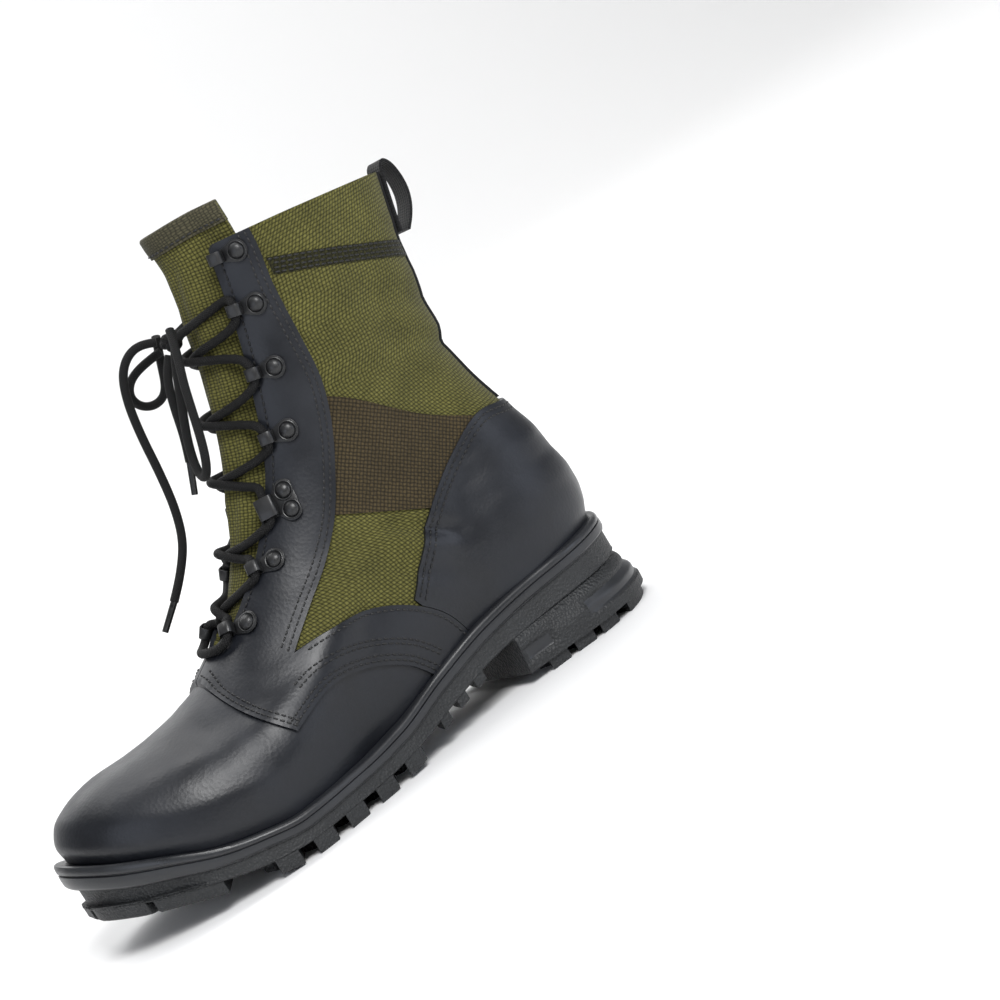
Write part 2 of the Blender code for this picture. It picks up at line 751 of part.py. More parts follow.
def build_heel_lugs(outline):
    """The heel's lugs: a curved plate at the back, bars at the sides, one at the breast."""
    back = -HEEL_REACH - HEEL_FLARE
    flare = 0.6 * HEEL_FLARE
    plate_end = SOLE_LENGTH * 0.052 - HEEL_REACH
    notch = 2 * MM
    reach = BALL_WIDTH
    shapes = []
    for side in (1, -1):
        shapes.append(
            [
                Vector((back, side * notch)),
                Vector((plate_end + 6 * MM, side * notch)),
                Vector((plate_end + 3 * MM, side * 14 * MM)),
                Vector((plate_end + 8 * MM, side * reach / 2)),
                Vector((back, side * reach / 2)),
            ]
        )
        bar = (
            (5 * MM, -8 * MM),
            (-6 * MM, -8 * MM),
            (-8 * MM, 16 * MM),
            (-2 * MM, 24 * MM),
            (4 * MM, 20 * MM),
            (1 * MM, 14 * MM),
        )
        shapes += [lug_shape(outline, share, side, bar) for share in HEEL_BARS]
    half = 7 * MM
    shapes.append(
        [
            Vector((-12 * MM, -half)),
            Vector((34 * MM, -half)),
            Vector((34 * MM, half)),
            Vector((-12 * MM, half)),
        ]
    )
    lugs = prisms(shapes, -HEEL_LUG, 3 * HEEL_LUG, "heel_lugs")
    breast = (LATERAL_BREAST + MEDIAL_BREAST) / 2

    def rim(point):
        reach_back = 1 - (point.x + HEEL_REACH) / breast
        return flare * min(max(reach_back, 0.0), 1.0) - LUG_INSET

    edge = grown(outline, [rim(point) for point in outline])
    slab = (
        at_heights(edge, lambda x: HEEL_LUG + LUG_SINK),
        at_heights(edge, lambda x: 0.0),
    )
    combine(lugs, "INTERSECT", loft(slab, "heel_slab"))
    return lugs


# Upper, insole, tongue

def build_upper():
    upper = add_mesh("upper", upper_sheet(), canvas)
    add_wall(upper, UPPER_WALL, -1)
    return upper


def build_insole():
    feather = [ring_point(0, math.tau * column / COLUMNS) for column in range(COLUMNS)]
    inset = UPPER_WALL + 3 * GAP
    bed = lambda x: rand_top(x) - BED_DEPTH + GAP
    top = lambda x: rand_top(x) - BED_DEPTH + GAP + INSOLE_THICKNESS
    loops = (at_heights(grown(feather, -inset), top), at_heights(grown(feather, -inset), bed))
    return loft(loops, "insole", insole_felt)


def tongue_lift(ring, across):
    """How far the tongue's outside lies over the upper's: it bulges between the eyestays."""
    tucked = -(UPPER_WALL + TONGUE_CLEARANCE)
    gap = ring_value("gap", ring) * BALL_WIDTH - 1.5 * MM
    if ring <= THROAT_RING + 1 or abs(across) >= gap:
        return tucked
    fill = min((ring - THROAT_RING - 1) / 3.5, 1.0)
    swell = math.cos(math.pi / 2 * across / gap) ** 1.3
    return tucked + (TONGUE_BULGE - tucked) * fill * swell


def tongue_point(ring, across, lift=0.0):
    """A point of the tongue's outside, across in metres from its middle line."""
    angle = math.pi - math.asin(across / ring_fullness(ring, 1.0))
    normal = ring_normal(ring, angle)
    return ring_point(ring, angle) + normal * (tongue_lift(ring, across) + lift)


TONGUE_COLUMNS = 12
TONGUE_RINGS = [THROAT_RING - 0.9, THROAT_RING - 0.3, THROAT_RING + 0.3]
TONGUE_RINGS += list(range(THROAT_RING + 1, COLLAR_RING + 1))
TONGUE_RINGS += [COLLAR_RING + 0.45, COLLAR_RING + 0.9]


def tongue_half(ring):
    """Half the tongue's width, tucked behind the eyestays."""
    return ring_value("gap", max(ring, THROAT_RING + 1)) * BALL_WIDTH + TONGUE_TUCK


def build_tongue():
    shape = bmesh.new()
    rows = []
    for ring in TONGUE_RINGS:
        half = tongue_half(ring)
        steps = [half * (2 * step / TONGUE_COLUMNS - 1) for step in range(TONGUE_COLUMNS + 1)]
        rows.append([shape.verts.new(tongue_point(ring, across)) for across in steps])
    for low, high in zip(rows, rows[1:]):
        strip_faces(shape, low, high, closed=False)
    bmesh.ops.recalc_face_normals(shape, faces=shape.faces)
    if sum(face.normal.x for face in shape.faces) < 0:
        bmesh.ops.reverse_faces(shape, faces=shape.faces)
    tongue = add_mesh("tongue", shape, canvas)
    add_wall(tongue, TONGUE_WALL, -1)
    return tongue


# Overlays, cut from the upper's own form

def side_line(line):
    """A seam line in metres, as flat points of X and Z."""
    return [Vector((x * SOLE_LENGTH, z * BOOT_HEIGHT)) for x, z in zip(line["x"], line["z"])]


def shifted(points, distance):
    """A flat line moved sideways, to the left of its run."""
    moved = []
    for place, point in enumerate(points):
        before = points[max(place - 1, 0)]
        after = points[min(place + 1, len(points) - 1)]
        along = (after - before).normalized()
        moved.append(point + Vector((-along.y, along.x)) * distance)
    return moved


def overlay(name, outline, sides, thickness, finish, axis="Y"):
    """A layer on the upper, where a prism on the outline meets the upper's outside."""
    shape = upper_sheet(RAND_RING)
    shape.normal_update()
    for vertex in shape.verts:
        vertex.co += vertex.normal * GAP
    layer = add_mesh(name, shape, finish)
    add_wall(layer, thickness, 1)
    low, high = sides
    combine(layer, "INTERSECT", prisms([outline], low, high, name + "_outline", axis))
    return layer


def build_eyestay(name, side):
    rear = curve_through(side_line(EYESTAY_REAR), 2)
    wing = curve_through(side_line(WING_TOP), 2)
    low = curve_through(side_line(WING_LOW), 2)
    toe = curve_through(side_line(EYESTAY_TOE), 2)
    front = [
        Vector((EYESTAY_FRONT_REACH * SOLE_LENGTH, toe[-1].y)),
        Vector((EYESTAY_FRONT_REACH * SOLE_LENGTH, rear[0].y)),
    ]
    outline = rear + wing[1:] + low + toe[1:] + front
    sides = (1 * MM, BALL_WIDTH) if side > 0 else (-BALL_WIDTH, -1 * MM)
    return overlay(name, outline, sides, OVERLAY_WALL, leather)


def build_counter():
    top = curve_through(side_line(COUNTER_EDGE), 2)
    wing = shifted(curve_through(side_line(WING_TOP), 2), -GAP)
    low = [point for point in wing if point.x < top[-1].x]
    base = [Vector((low[-1].x, 0)), Vector((top[0].x, 0))]
    return overlay("heel_counter", top + low + base, (-BALL_WIDTH, BALL_WIDTH), OVERLAY_WALL, leather)


def build_patch(name, side):
    """Webbing slung from the eyestay back and down to the counter."""
    top = curve_through(side_line(PATCH_TOP), 2)
    low = curve_through(side_line(PATCH_LOW), 2)
    eyestay = shifted(curve_through(side_line(EYESTAY_REAR), 2), -GAP)
    counter = shifted(curve_through(side_line(COUNTER_EDGE), 2), GAP)
    front = [point for point in eyestay if low[0].y < point.y < top[0].y]
    back = [point for point in counter if top[-1].x < point.x < low[-1].x]
    outline = top + back + low[::-1] + front[::-1]
    sides = (1 * MM, BALL_WIDTH) if side > 0 else (-BALL_WIDTH, -1 * MM)
    return overlay(name, outline, sides, WEBBING_WALL, patch_webbing)


def build_back_tape():
    """Tape over the back seam, from the counter to just under the collar's edge."""
    low = COUNTER_EDGE["z"][1] * BOOT_HEIGHT + 2 * MM
    high = BOOT_HEIGHT
    half = TAPE_WIDTH / 2
    outline = [Vector((-half, low)), Vector((half, low)), Vector((half, high)), Vector((-half, high))]
    return overlay("back_tape", outline, (-BALL_WIDTH, 0), WEBBING_WALL, black_webbing, axis="X")


def build_pull_loop():
    """A folded strap that stands behind the collar, sewn down at the collar seam."""
    inner = GAP + WEBBING_WALL + GAP + LOOP_WALL / 2
    rings = [LOOP_FOOT_RING + (COLLAR_RING + 0.1 - LOOP_FOOT_RING) * step / 5 for step in range(6)]
    backs = [ring_point(ring, 0.0) for ring in rings]
    normals = [ring_normal(ring, 0.0) for ring in rings]
    near = [point + normal * inner for point, normal in zip(backs, normals)]
    far = []
    for step, (point, normal) in enumerate(zip(backs, normals)):
        swell = math.sin(math.pi * (step + 0.6) / 6.6)
        far.append(point + normal * (inner + LOOP_WALL * 1.3 + LOOP_BULGE * swell))
    crown = (near[-1] + far[-1]) / 2 + Vector((0, 0, (far[-1] - near[-1]).length / 2))
    centre = near + [crown] + far[::-1]
    shape = bmesh.new()
    rows = []
    count = len(centre)
    for place, point in enumerate(centre):
        along = (centre[(place + 1) % count] - centre[place - 1]).normalized()
        out = Vector((along.z, 0, -along.x)) * (LOOP_WALL / 2)
        side = Vector((0, LOOP_WIDTH / 2, 0))
        corners = (point + out + side, point + out - side, point - out - side, point - out + side)
        rows.append([shape.verts.new(corner) for corner in corners])
    for place in range(count):
        strip_faces(shape, rows[place], rows[(place + 1) % count], closed=True)
    bmesh.ops.recalc_face_normals(shape, faces=shape.faces)
    return add_mesh("pull_loop", shape, black_webbing)


def build_tongue_binding():
    """Cloth bound over the top edge of the tongue."""
    top = TONGUE_RINGS[-1]
    low = top - BINDING_RINGS
    half = tongue_half(top)
    steps = [half * (2 * step / TONGUE_COLUMNS - 1) for step in range(TONGUE_COLUMNS + 1)]
    outer = GAP + BINDING_WALL
    inside = -TONGUE_WALL - GAP
    profile = (
        (low, GAP, 0),
        (top, GAP, GAP),
        (top, inside, GAP),
        (low, inside, 0),
        (low, inside - BINDING_WALL, 0),
        (top, inside - BINDING_WALL, GAP),
        (top, (inside + GAP) / 2, GAP + BINDING_WALL),
        (top, outer, GAP),
        (low, outer, 0),
    )
    shape = bmesh.new()
    rows = []
    for across in steps:
        loop = []
        for ring, lift, raise_by in profile:
            edge = tongue_vertex_point(ring, across, lift)
            loop.append(shape.verts.new(edge + Vector((0, 0, raise_by))))
        rows.append(loop)
    for first, second in zip(rows, rows[1:]):
        strip_faces(shape, first, second, closed=True)
    shape.faces.new(rows[0])
    shape.faces.new(rows[-1])
    bmesh.ops.recalc_face_normals(shape, faces=shape.faces)
    bmesh.ops.triangulate(shape, faces=shape.faces)
    return add_mesh("tongue_binding", shape, binding_cloth)


def tongue_vertex_point(ring, across, lift):
    """A point off the tongue along its own surface's normal."""
    step = 0.5 * MM
    half = tongue_half(ring) - 2 * step
    side = min(max(across, -half), half)
    here = tongue_point(ring, across)
    beside = tongue_point(ring, side + step) - tongue_point(ring, side - step)
    up = tongue_point(ring + 0.05, across) - tongue_point(ring - 0.05, across)
    normal = up.cross(beside).normalized()
    if normal.x < 0:
        normal = -normal
    return here + normal * lift


# Lace loops and clamps, riveted along the eyestays

def union_mesh(pieces, name):
    """One closed mesh from several cutters that meet."""
    first, *others = pieces
    for other in others:
        combine(first, "UNION", other)
    depsgraph = bpy.context.evaluated_depsgraph_get()
    mesh = bpy.data.meshes.new_from_object(first.evaluated_get(depsgraph))
    mesh.name = name
    mesh.materials.clear()
    mesh.materials.append(lacquered_metal)
    for piece in pieces:
        bpy.data.objects.remove(piece, do_unlink=True)
    return mesh


def rivet(x, y):
    """A domed rivet head on the plate."""
    shape = bmesh.new()
    bmesh.ops.create_uvsphere(shape, u_segments=8, v_segments=4, radius=RIVET_HEAD / 2)
    bmesh.ops.scale(shape, vec=(1, 1, RIVET_RISE / (RIVET_HEAD / 2)), verts=shape.verts)
    cut = bmesh.ops.bisect_plane(
        shape,
        geom=shape.verts[:] + shape.edges[:] + shape.faces[:],
        plane_co=(0, 0, -PLATE_WALL / 3),
        plane_no=(0, 0, -1),
        clear_outer=True,
    )
    edges = [part for part in cut["geom_cut"] if isinstance(part, bmesh.types.BMEdge)]
    bmesh.ops.holes_fill(shape, edges=edges)
    bmesh.ops.translate(shape, vec=(x, y, PLATE_WALL), verts=shape.verts)
    bmesh.ops.recalc_face_normals(shape, faces=shape.faces)
    return add_mesh("rivet", shape)


def tunnel(centre, length, width, height):
    """A flat tube across the plate's front end, open both ways for the lace."""
    shape = bmesh.new()
    bevel = TUNNEL_WALL * 1.5

    def frame(grow, y):
        half = length / 2 - grow
        low = grow
        high = height - grow
        cut = max(bevel - grow, 0.3 * MM)
        return [
            Vector((centre - half, y, low)),
            Vector((centre + half, y, low)),
            Vector((centre + half, y, high - cut)),
            Vector((centre + half - cut, y, high)),
            Vector((centre - half + cut, y, high)),
            Vector((centre - half, y, high - cut)),
        ]

    loops = (
        frame(0, -width / 2),
        frame(TUNNEL_WALL, -width / 2),
        frame(TUNNEL_WALL, width / 2),
        frame(0, width / 2),
    )
    rows = [[shape.verts.new(point) for point in loop] for loop in loops]
    for place in range(4):
        strip_faces(shape, rows[place], rows[(place + 1) % 4], closed=True)
    bmesh.ops.recalc_face_normals(shape, faces=shape.faces)
    return add_mesh("tunnel", shape)


def loop_mesh():
    """A lace loop: a drop-shaped plate, its rivet, and the tunnel at its front end."""
    wide = PLATE_WIDTH / 2
    narrow = TUNNEL_WIDTH / 2 - 0.1 * MM
    arc = [math.radians(angle) for angle in range(75, 286, 35)]
    outline = [Vector((math.cos(angle), math.sin(angle))) * wide for angle in arc]
    reach = TUNNEL_REACH - TUNNEL_LENGTH / 2 + TUNNEL_WALL / 2
    outline += [Vector((reach, -narrow)), Vector((reach, narrow))]
    plate = prisms([outline], 0, PLATE_WALL, "plate")
    height = LACE_DIAMETER + 2 * TUNNEL_WALL + 0.4 * MM
    pieces = [plate, tunnel(TUNNEL_REACH, TUNNEL_LENGTH, TUNNEL_WIDTH, height), rivet(0, 0)]
    return union_mesh(pieces, "lace_loop")


def clamp_mesh():
    """The ankle clamp: a plate on two rivets and a square tunnel that pinches the lace."""
    half = CLAMP_WIDTH / 2
    back = -RIVET_HEAD / 2 - 1 * MM
    reach = TUNNEL_REACH - CLAMP_LENGTH / 2 + TUNNEL_WALL / 2
    outline = [
        Vector((back, -half * 0.7)),
        Vector((back * 0.5, -half * 1.3)),
        Vector((-back * 0.6, -half * 1.3)),
        Vector((reach, -half + 0.1 * MM)),
        Vector((reach, half - 0.1 * MM)),
        Vector((-back * 0.6, half * 1.3)),
        Vector((back * 0.5, half * 1.3)),
        Vector((back, half * 0.7)),
    ]
    plate = prisms([outline], 0, PLATE_WALL, "plate")
    height = LACE_DIAMETER + 2 * TUNNEL_WALL + 0.4 * MM
    apart = RIVET_HEAD / 2 + 0.5 * MM
    pieces = [
        plate,
        tunnel(TUNNEL_REACH, CLAMP_LENGTH, CLAMP_WIDTH, height),
        rivet(0, apart),
        rivet(0, -apart),
    ]
    return union_mesh(pieces, "lace_clamp")


def facet_point(ring, angle):
    """A point of the upper's faceted outside, straight between two rings."""
    low = math.floor(ring)
    part = ring - low
    return ring_point(low, angle) * (1 - part) + ring_point(low + 1, angle) * part


def angle_from_edge(ring, distance, side):
    """The angle at a distance round the upper from the throat's edge."""
    angle = math.pi - gap_angle(ring)
    covered = 0.0
    step = 0.01
    while covered < distance:
        here = facet_point(ring, side * angle)
        angle -= step
        covered += (facet_point(ring, side * angle) - here).length
    return side * angle


def loop_frame(row, side):
    """Where a lace loop sits: X to the throat's edge, Y along it, Z outwards."""
    ring = LACE_ROWS[row]
    rivet_angle = angle_from_edge(ring, RIVET_SETBACK, side)
    front_angle = angle_from_edge(ring, RIVET_SETBACK - TUNNEL_REACH, side)
    origin = facet_point(ring, rivet_angle)
    ahead = (facet_point(ring, front_angle) - origin).normalized()
    up = facet_point(ring + 0.25, rivet_angle) - facet_point(ring - 0.25, rivet_angle)
    outward = (up.cross(ahead) * side).normalized()
    along = outward.cross(ahead)
    rise = 0.0
    for step in range(7):
        distance = RIVET_SETBACK + RIVET_HEAD / 2 - step * 3 * MM
        for lift in (-0.3, 0.0, 0.3):
            angle = angle_from_edge(ring, max(distance, 0.0), side)
            rise = max(rise, (facet_point(ring + lift, angle) - origin).dot(outward))
    seat = origin + outward * (rise + GAP + OVERLAY_WALL + GAP)
    frame = Matrix((ahead, along, outward)).transposed().to_4x4()
    frame.translation = seat
    return frame


def place_loops():
    plain = loop_mesh()
    clamp = clamp_mesh()
    for side, name in ((1, "lateral"), (-1, "medial")):
        for row in range(len(LACE_ROWS)):
            mesh = clamp if row == CLAMP_ROW else plain
            kind = "lace_clamp" if row == CLAMP_ROW else "lace_loop"
            made = bpy.data.objects.new("%s_%s_%d" % (kind, name, row + 1), mesh)
            made.matrix_world = loop_frame(row, side)
            boot.objects.link(made)


# Lace: crossings over the tongue, and a bow at the top

def surface_under_laces():
    """What the laces lie on, as one tree of faces."""
    depsgraph = bpy.context.evaluated_depsgraph_get()
    shape = bmesh.new()
    for name in ("upper", "tongue", "eyestay_lateral", "eyestay_medial"):
        mesh = bpy.data.meshes.new_from_object(bpy.data.objects[name].evaluated_get(depsgraph))
        shape.from_mesh(mesh)
    tree = BVHTree.FromBMesh(shape)
    shape.free()
    return tree


def over_front(ring, across):
    """A point of the upper's front, and the way out from it."""
    angle = math.pi - math.asin(across / ring_fullness(ring, 1.0))
    return facet_point(ring, angle), ring_normal(ring, angle)


def cleared(tree, point, outward):
    """A point of the lace's middle, moved out until the lace clears the surface."""
    point = point.copy()
    while tree.find_nearest(point)[3] < LACE_DIAMETER / 2 + LACE_CLEARANCE:
        point += outward * LACE_STEP
    return point


def laid_on(tree, ring, across):
    """The lace's middle where it lies on the surface."""
    point, outward = over_front(ring, across)
    above = point + outward * LACE_DROP
    return cleared(tree, tree.ray_cast(above, -outward)[0], outward)


def spanned(tree, points):
    """The lace's route, with a point more wherever a straight run comes too near."""
    route = points[:1]
    for first, second in zip(points, points[1:]):
        middle = (first + second) / 2
        nearest, _, _, distance = tree.find_nearest(middle)
        if distance < LACE_DIAMETER / 2 + LACE_CLEARANCE * 0.8:
            route.append(cleared(tree, middle, (middle - nearest).normalized()))
        route.append(second)
    return route


def tunnel_mouth(tree, row, side, up):
    """The lace's end by a tunnel and its next point: up 1 at the top end, -1 below."""
    frame = loop_frame(row, side)
    width = CLAMP_WIDTH if row == CLAMP_ROW else TUNNEL_WIDTH
    upward = -side * up
    height = TUNNEL_WALL + LACE_DIAMETER / 2 + 0.2 * MM
    mouth = frame @ Vector((TUNNEL_REACH, upward * (width / 2 + 2 * GAP), height))
    away = (frame.to_3x3() @ Vector((0, upward, 0))).normalized()
    outward = (frame.to_3x3() @ Vector((0, 0, 1))).normalized()
    return cleared(tree, mouth, outward), cleared(tree, mouth + away * LACE_EASE, outward)


def tube(name, points, diameter, finish):
    """A round cord along a smooth route."""
    data = bpy.data.curves.new(name, "CURVE")
    data.dimensions = "3D"
    data.bevel_depth = diameter / 2
    data.bevel_resolution = LACE_BEVEL
    data.use_fill_caps = True
    spline = data.splines.new("POLY")
    spline.points.add(len(points) - 1)
    for place, point in zip(spline.points, points):
        place.co = (*point, 1.0)
    made = bpy.data.objects.new(name, data)
    data.materials.append(finish)
    boot.objects.link(made)
    return made


def solid_from_curve(thing):
    """The curve made a closed mesh object in its place."""
    depsgraph = bpy.context.evaluated_depsgraph_get()
    depsgraph.update()
    mesh = bpy.data.meshes.new_from_object(thing.evaluated_get(depsgraph))
    shape = bmesh.new()
    shape.from_mesh(mesh)
    bmesh.ops.remove_doubles(shape, verts=shape.verts, dist=0.01 * MM)
    bmesh.ops.recalc_face_normals(shape, faces=shape.faces)
    shape.to_mesh(mesh)
    shape.free()
    name = thing.name
    place = thing.matrix_world.copy()
    bpy.data.objects.remove(thing, do_unlink=True)
    made = bpy.data.objects.new(name, mesh)
    made.matrix_world = place
    boot.objects.link(made)
    return made


def crossing_route(tree, row, side):
    """From the top of one loop over the tongue to the foot of the next loop across."""
    start, leaves = tunnel_mouth(tree, row, side, 1)
    end, enters = tunnel_mouth(tree, row + 1, -side, -1)
    low = LACE_ROWS[row] + MOUTH_RINGS[row == CLAMP_ROW]
    high = LACE_ROWS[row + 1] - MOUTH_RINGS[row + 1 == CLAMP_ROW]
    reach = (abs(start.y) + abs(end.y)) / 2
    middle = []
    for part in CROSSING_SHARES:
        across = side * reach * (1 - 2 * part)
        middle.append(laid_on(tree, low + (high - low) * part, across))
    return spanned(tree, [start, leaves, *middle, enters, end])


def build_crossings(tree):
    """One joined pair of crossing laces between each two rows of loops."""
    for row in range(LACED_ROWS - 1):
        name = "lace_crossing_%d" % (row + 1)
        under, over = (
            solid_from_curve(tube(made, crossing_route(tree, row, side), LACE_DIAMETER, lace_cord))
            for made, side in ((name, 1), (name + "_other", -1))
        )
        cutters.objects.link(over)
        boot.objects.unlink(over)
        over.hide_render = True
        over.display_type = "WIRE"
        combine(under, "UNION", over)


def build_bottom_bar(tree):
    """The lace's middle, straight across between the lowest loops."""
    start, leaves = tunnel_mouth(tree, 0, 1, -1)
    end, enters = tunnel_mouth(tree, 0, -1, -1)
    ring = LACE_ROWS[0] - 0.7
    reach = abs(start.y)
    middle = [laid_on(tree, ring, reach * part) for part in (0.7, 0.35, 0.0, -0.35, -0.7)]
    route = spanned(tree, [start, leaves, *middle, enters, end])
    tube("lace_bottom_bar", route, LACE_DIAMETER, lace_cord)


def mm_points(rows):
    """Points given in millimetres."""
    return [Vector(row) * MM for row in rows]


def build_bow(tree):
    """The bow: a knot on the tongue, two loops and two tipped ends that hang from it."""
    shape = bmesh.new()
    bmesh.ops.create_uvsphere(shape, u_segments=10, v_segments=6, radius=1.0)
    bmesh.ops.scale(shape, vec=[size * MM for size in KNOT_HALF_SIZE], verts=shape.verts)
    knot = add_mesh("lace_knot", shape, lace_cord)
    knot.location = Vector(KNOT_CENTRE) * MM
    for side, name in ((1, "lateral"), (-1, "medial")):
        start, leaves = tunnel_mouth(tree, LACED_ROWS - 1, side, 1)
        end = Vector(KNOT_CENTRE) * MM
        end.y = side * (KNOT_HALF_SIZE[1] + 2.5) * MM
        ring = LACE_ROWS[LACED_ROWS - 1] + 0.3
        middle = [laid_on(tree, ring, side * abs(start.y) * part) for part in (0.85, 0.68)]
        route = spanned(tree, [start, leaves, *middle, end])
        tube("lace_top_" + name, route, LACE_DIAMETER, lace_cord)
    for name, rows in BOW_ROUTES.items():
        tube(name, curve_through(mm_points(rows), 2), LACE_DIAMETER, lace_cord)
    for name, (start, end) in AGLETS.items():
        tube(name, mm_points((start, end)), AGLET_DIAMETER, lace_cord)


build_outsole()
build_upper()
build_insole()
build_tongue()
build_tongue_binding()
for side, word in ((1, "lateral"), (-1, "medial")):
    build_eyestay("eyestay_" + word, side)
    build_patch("web_patch_" + word, side)
build_counter()
build_back_tape()
build_pull_loop()
place_loops()
lace_bed = surface_under_laces()
build_bottom_bar(lace_bed)
build_crossings(lace_bed)
build_bow(lace_bed)
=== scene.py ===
"""Looks of a left jungle boot: moulded lug sole, canvas and leather upper, speed lacing.

Metres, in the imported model's frame: +X to the toe, +Y to the outer side, +Z up, floor at 0.
"""

import functools
import math

import bmesh
import bpy
from mathutils import Matrix, Vector
from mathutils.bvhtree import BVHTree


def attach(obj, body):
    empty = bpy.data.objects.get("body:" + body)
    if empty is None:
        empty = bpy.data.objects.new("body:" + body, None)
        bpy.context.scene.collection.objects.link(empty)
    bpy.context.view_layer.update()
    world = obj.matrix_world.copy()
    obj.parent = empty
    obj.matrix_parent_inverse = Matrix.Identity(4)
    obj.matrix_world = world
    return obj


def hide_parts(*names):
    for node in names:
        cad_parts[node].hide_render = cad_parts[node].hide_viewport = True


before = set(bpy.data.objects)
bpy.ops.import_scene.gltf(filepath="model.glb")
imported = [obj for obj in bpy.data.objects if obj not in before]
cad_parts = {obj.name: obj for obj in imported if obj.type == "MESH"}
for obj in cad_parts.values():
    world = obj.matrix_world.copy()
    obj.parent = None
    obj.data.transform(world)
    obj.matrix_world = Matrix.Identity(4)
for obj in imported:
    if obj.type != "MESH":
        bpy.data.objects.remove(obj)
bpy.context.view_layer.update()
bpy.ops.object.select_all(action="DESELECT")


# Outsole
# One black rubber moulding, injected onto the upper: a glossy rand with a fine groove, a grained
# wall, a bumper round the toe, a heel block with smooth slots in its sides, and lugs below.

MM = 0.001
SOLE_LENGTH = 306 * MM
HEEL_REACH = 40 * MM
BALL_WIDTH = 108 * MM
HEEL_HEIGHT = 46 * MM
BOOT_HEIGHT = 250 * MM
GAP = 0.3 * MM
BED_DEPTH = 9.0 * MM
RAND_LIP = 2.4 * MM
RAND_GROOVE = 0.9 * MM
WALL_STEP = 1.6 * MM
BUMPER_RECESS = 2.6 * MM
BUMPER_START = 0.84
LATERAL_BREAST = 84 * MM
MEDIAL_BREAST = 94 * MM
HEEL_FLARE = 4.5 * MM
HEEL_LUG = 5.5 * MM
LUG_INSET = 2.0 * MM
LUG_SINK = 1.5 * MM
SOLE_COLUMNS = 288


def table(names, rows):
    """A table as named columns."""
    return {name: [row[place] for row in rows] for place, name in enumerate(names.split())}


# From heel to toe: share of the length, half width and middle line as shares of the ball's
# width, then heights as shares of the heel's height
SOLE = table(
    "share fullness centre rand_top band underside tread",
    (
        (0.00, 0.660, 0.000, 1.00, 0.19, 0.56, 0.46),
        (0.10, 0.570, 0.000, 0.98, 0.19, 0.56, 0.46),
        (0.20, 0.445, 0.000, 0.94, 0.19, 0.53, 0.44),
        (0.30, 0.390, 0.008, 0.86, 0.19, 0.48, 0.38),
        (0.40, 0.370, 0.016, 0.70, 0.18, 0.34, 0.24),
        (0.50, 0.405, 0.020, 0.52, 0.17, 0.20, 0.05),
        (0.58, 0.450, 0.018, 0.455, 0.16, 0.155, 0.00),
        (0.70, 0.570, 0.006, 0.44, 0.16, 0.155, 0.00),
        (0.76, 0.610, -0.006, 0.50, 0.16, 0.19, 0.04),
        (0.82, 0.640, -0.022, 0.60, 0.19, 0.27, 0.13),
        (0.89, 0.665, -0.048, 0.80, 0.25, 0.39, 0.26),
        (0.95, 0.690, -0.072, 0.97, 0.28, 0.50, 0.37),
        (1.00, 0.700, -0.090, 1.14, 0.29, 0.61, 0.49),
    ),
)

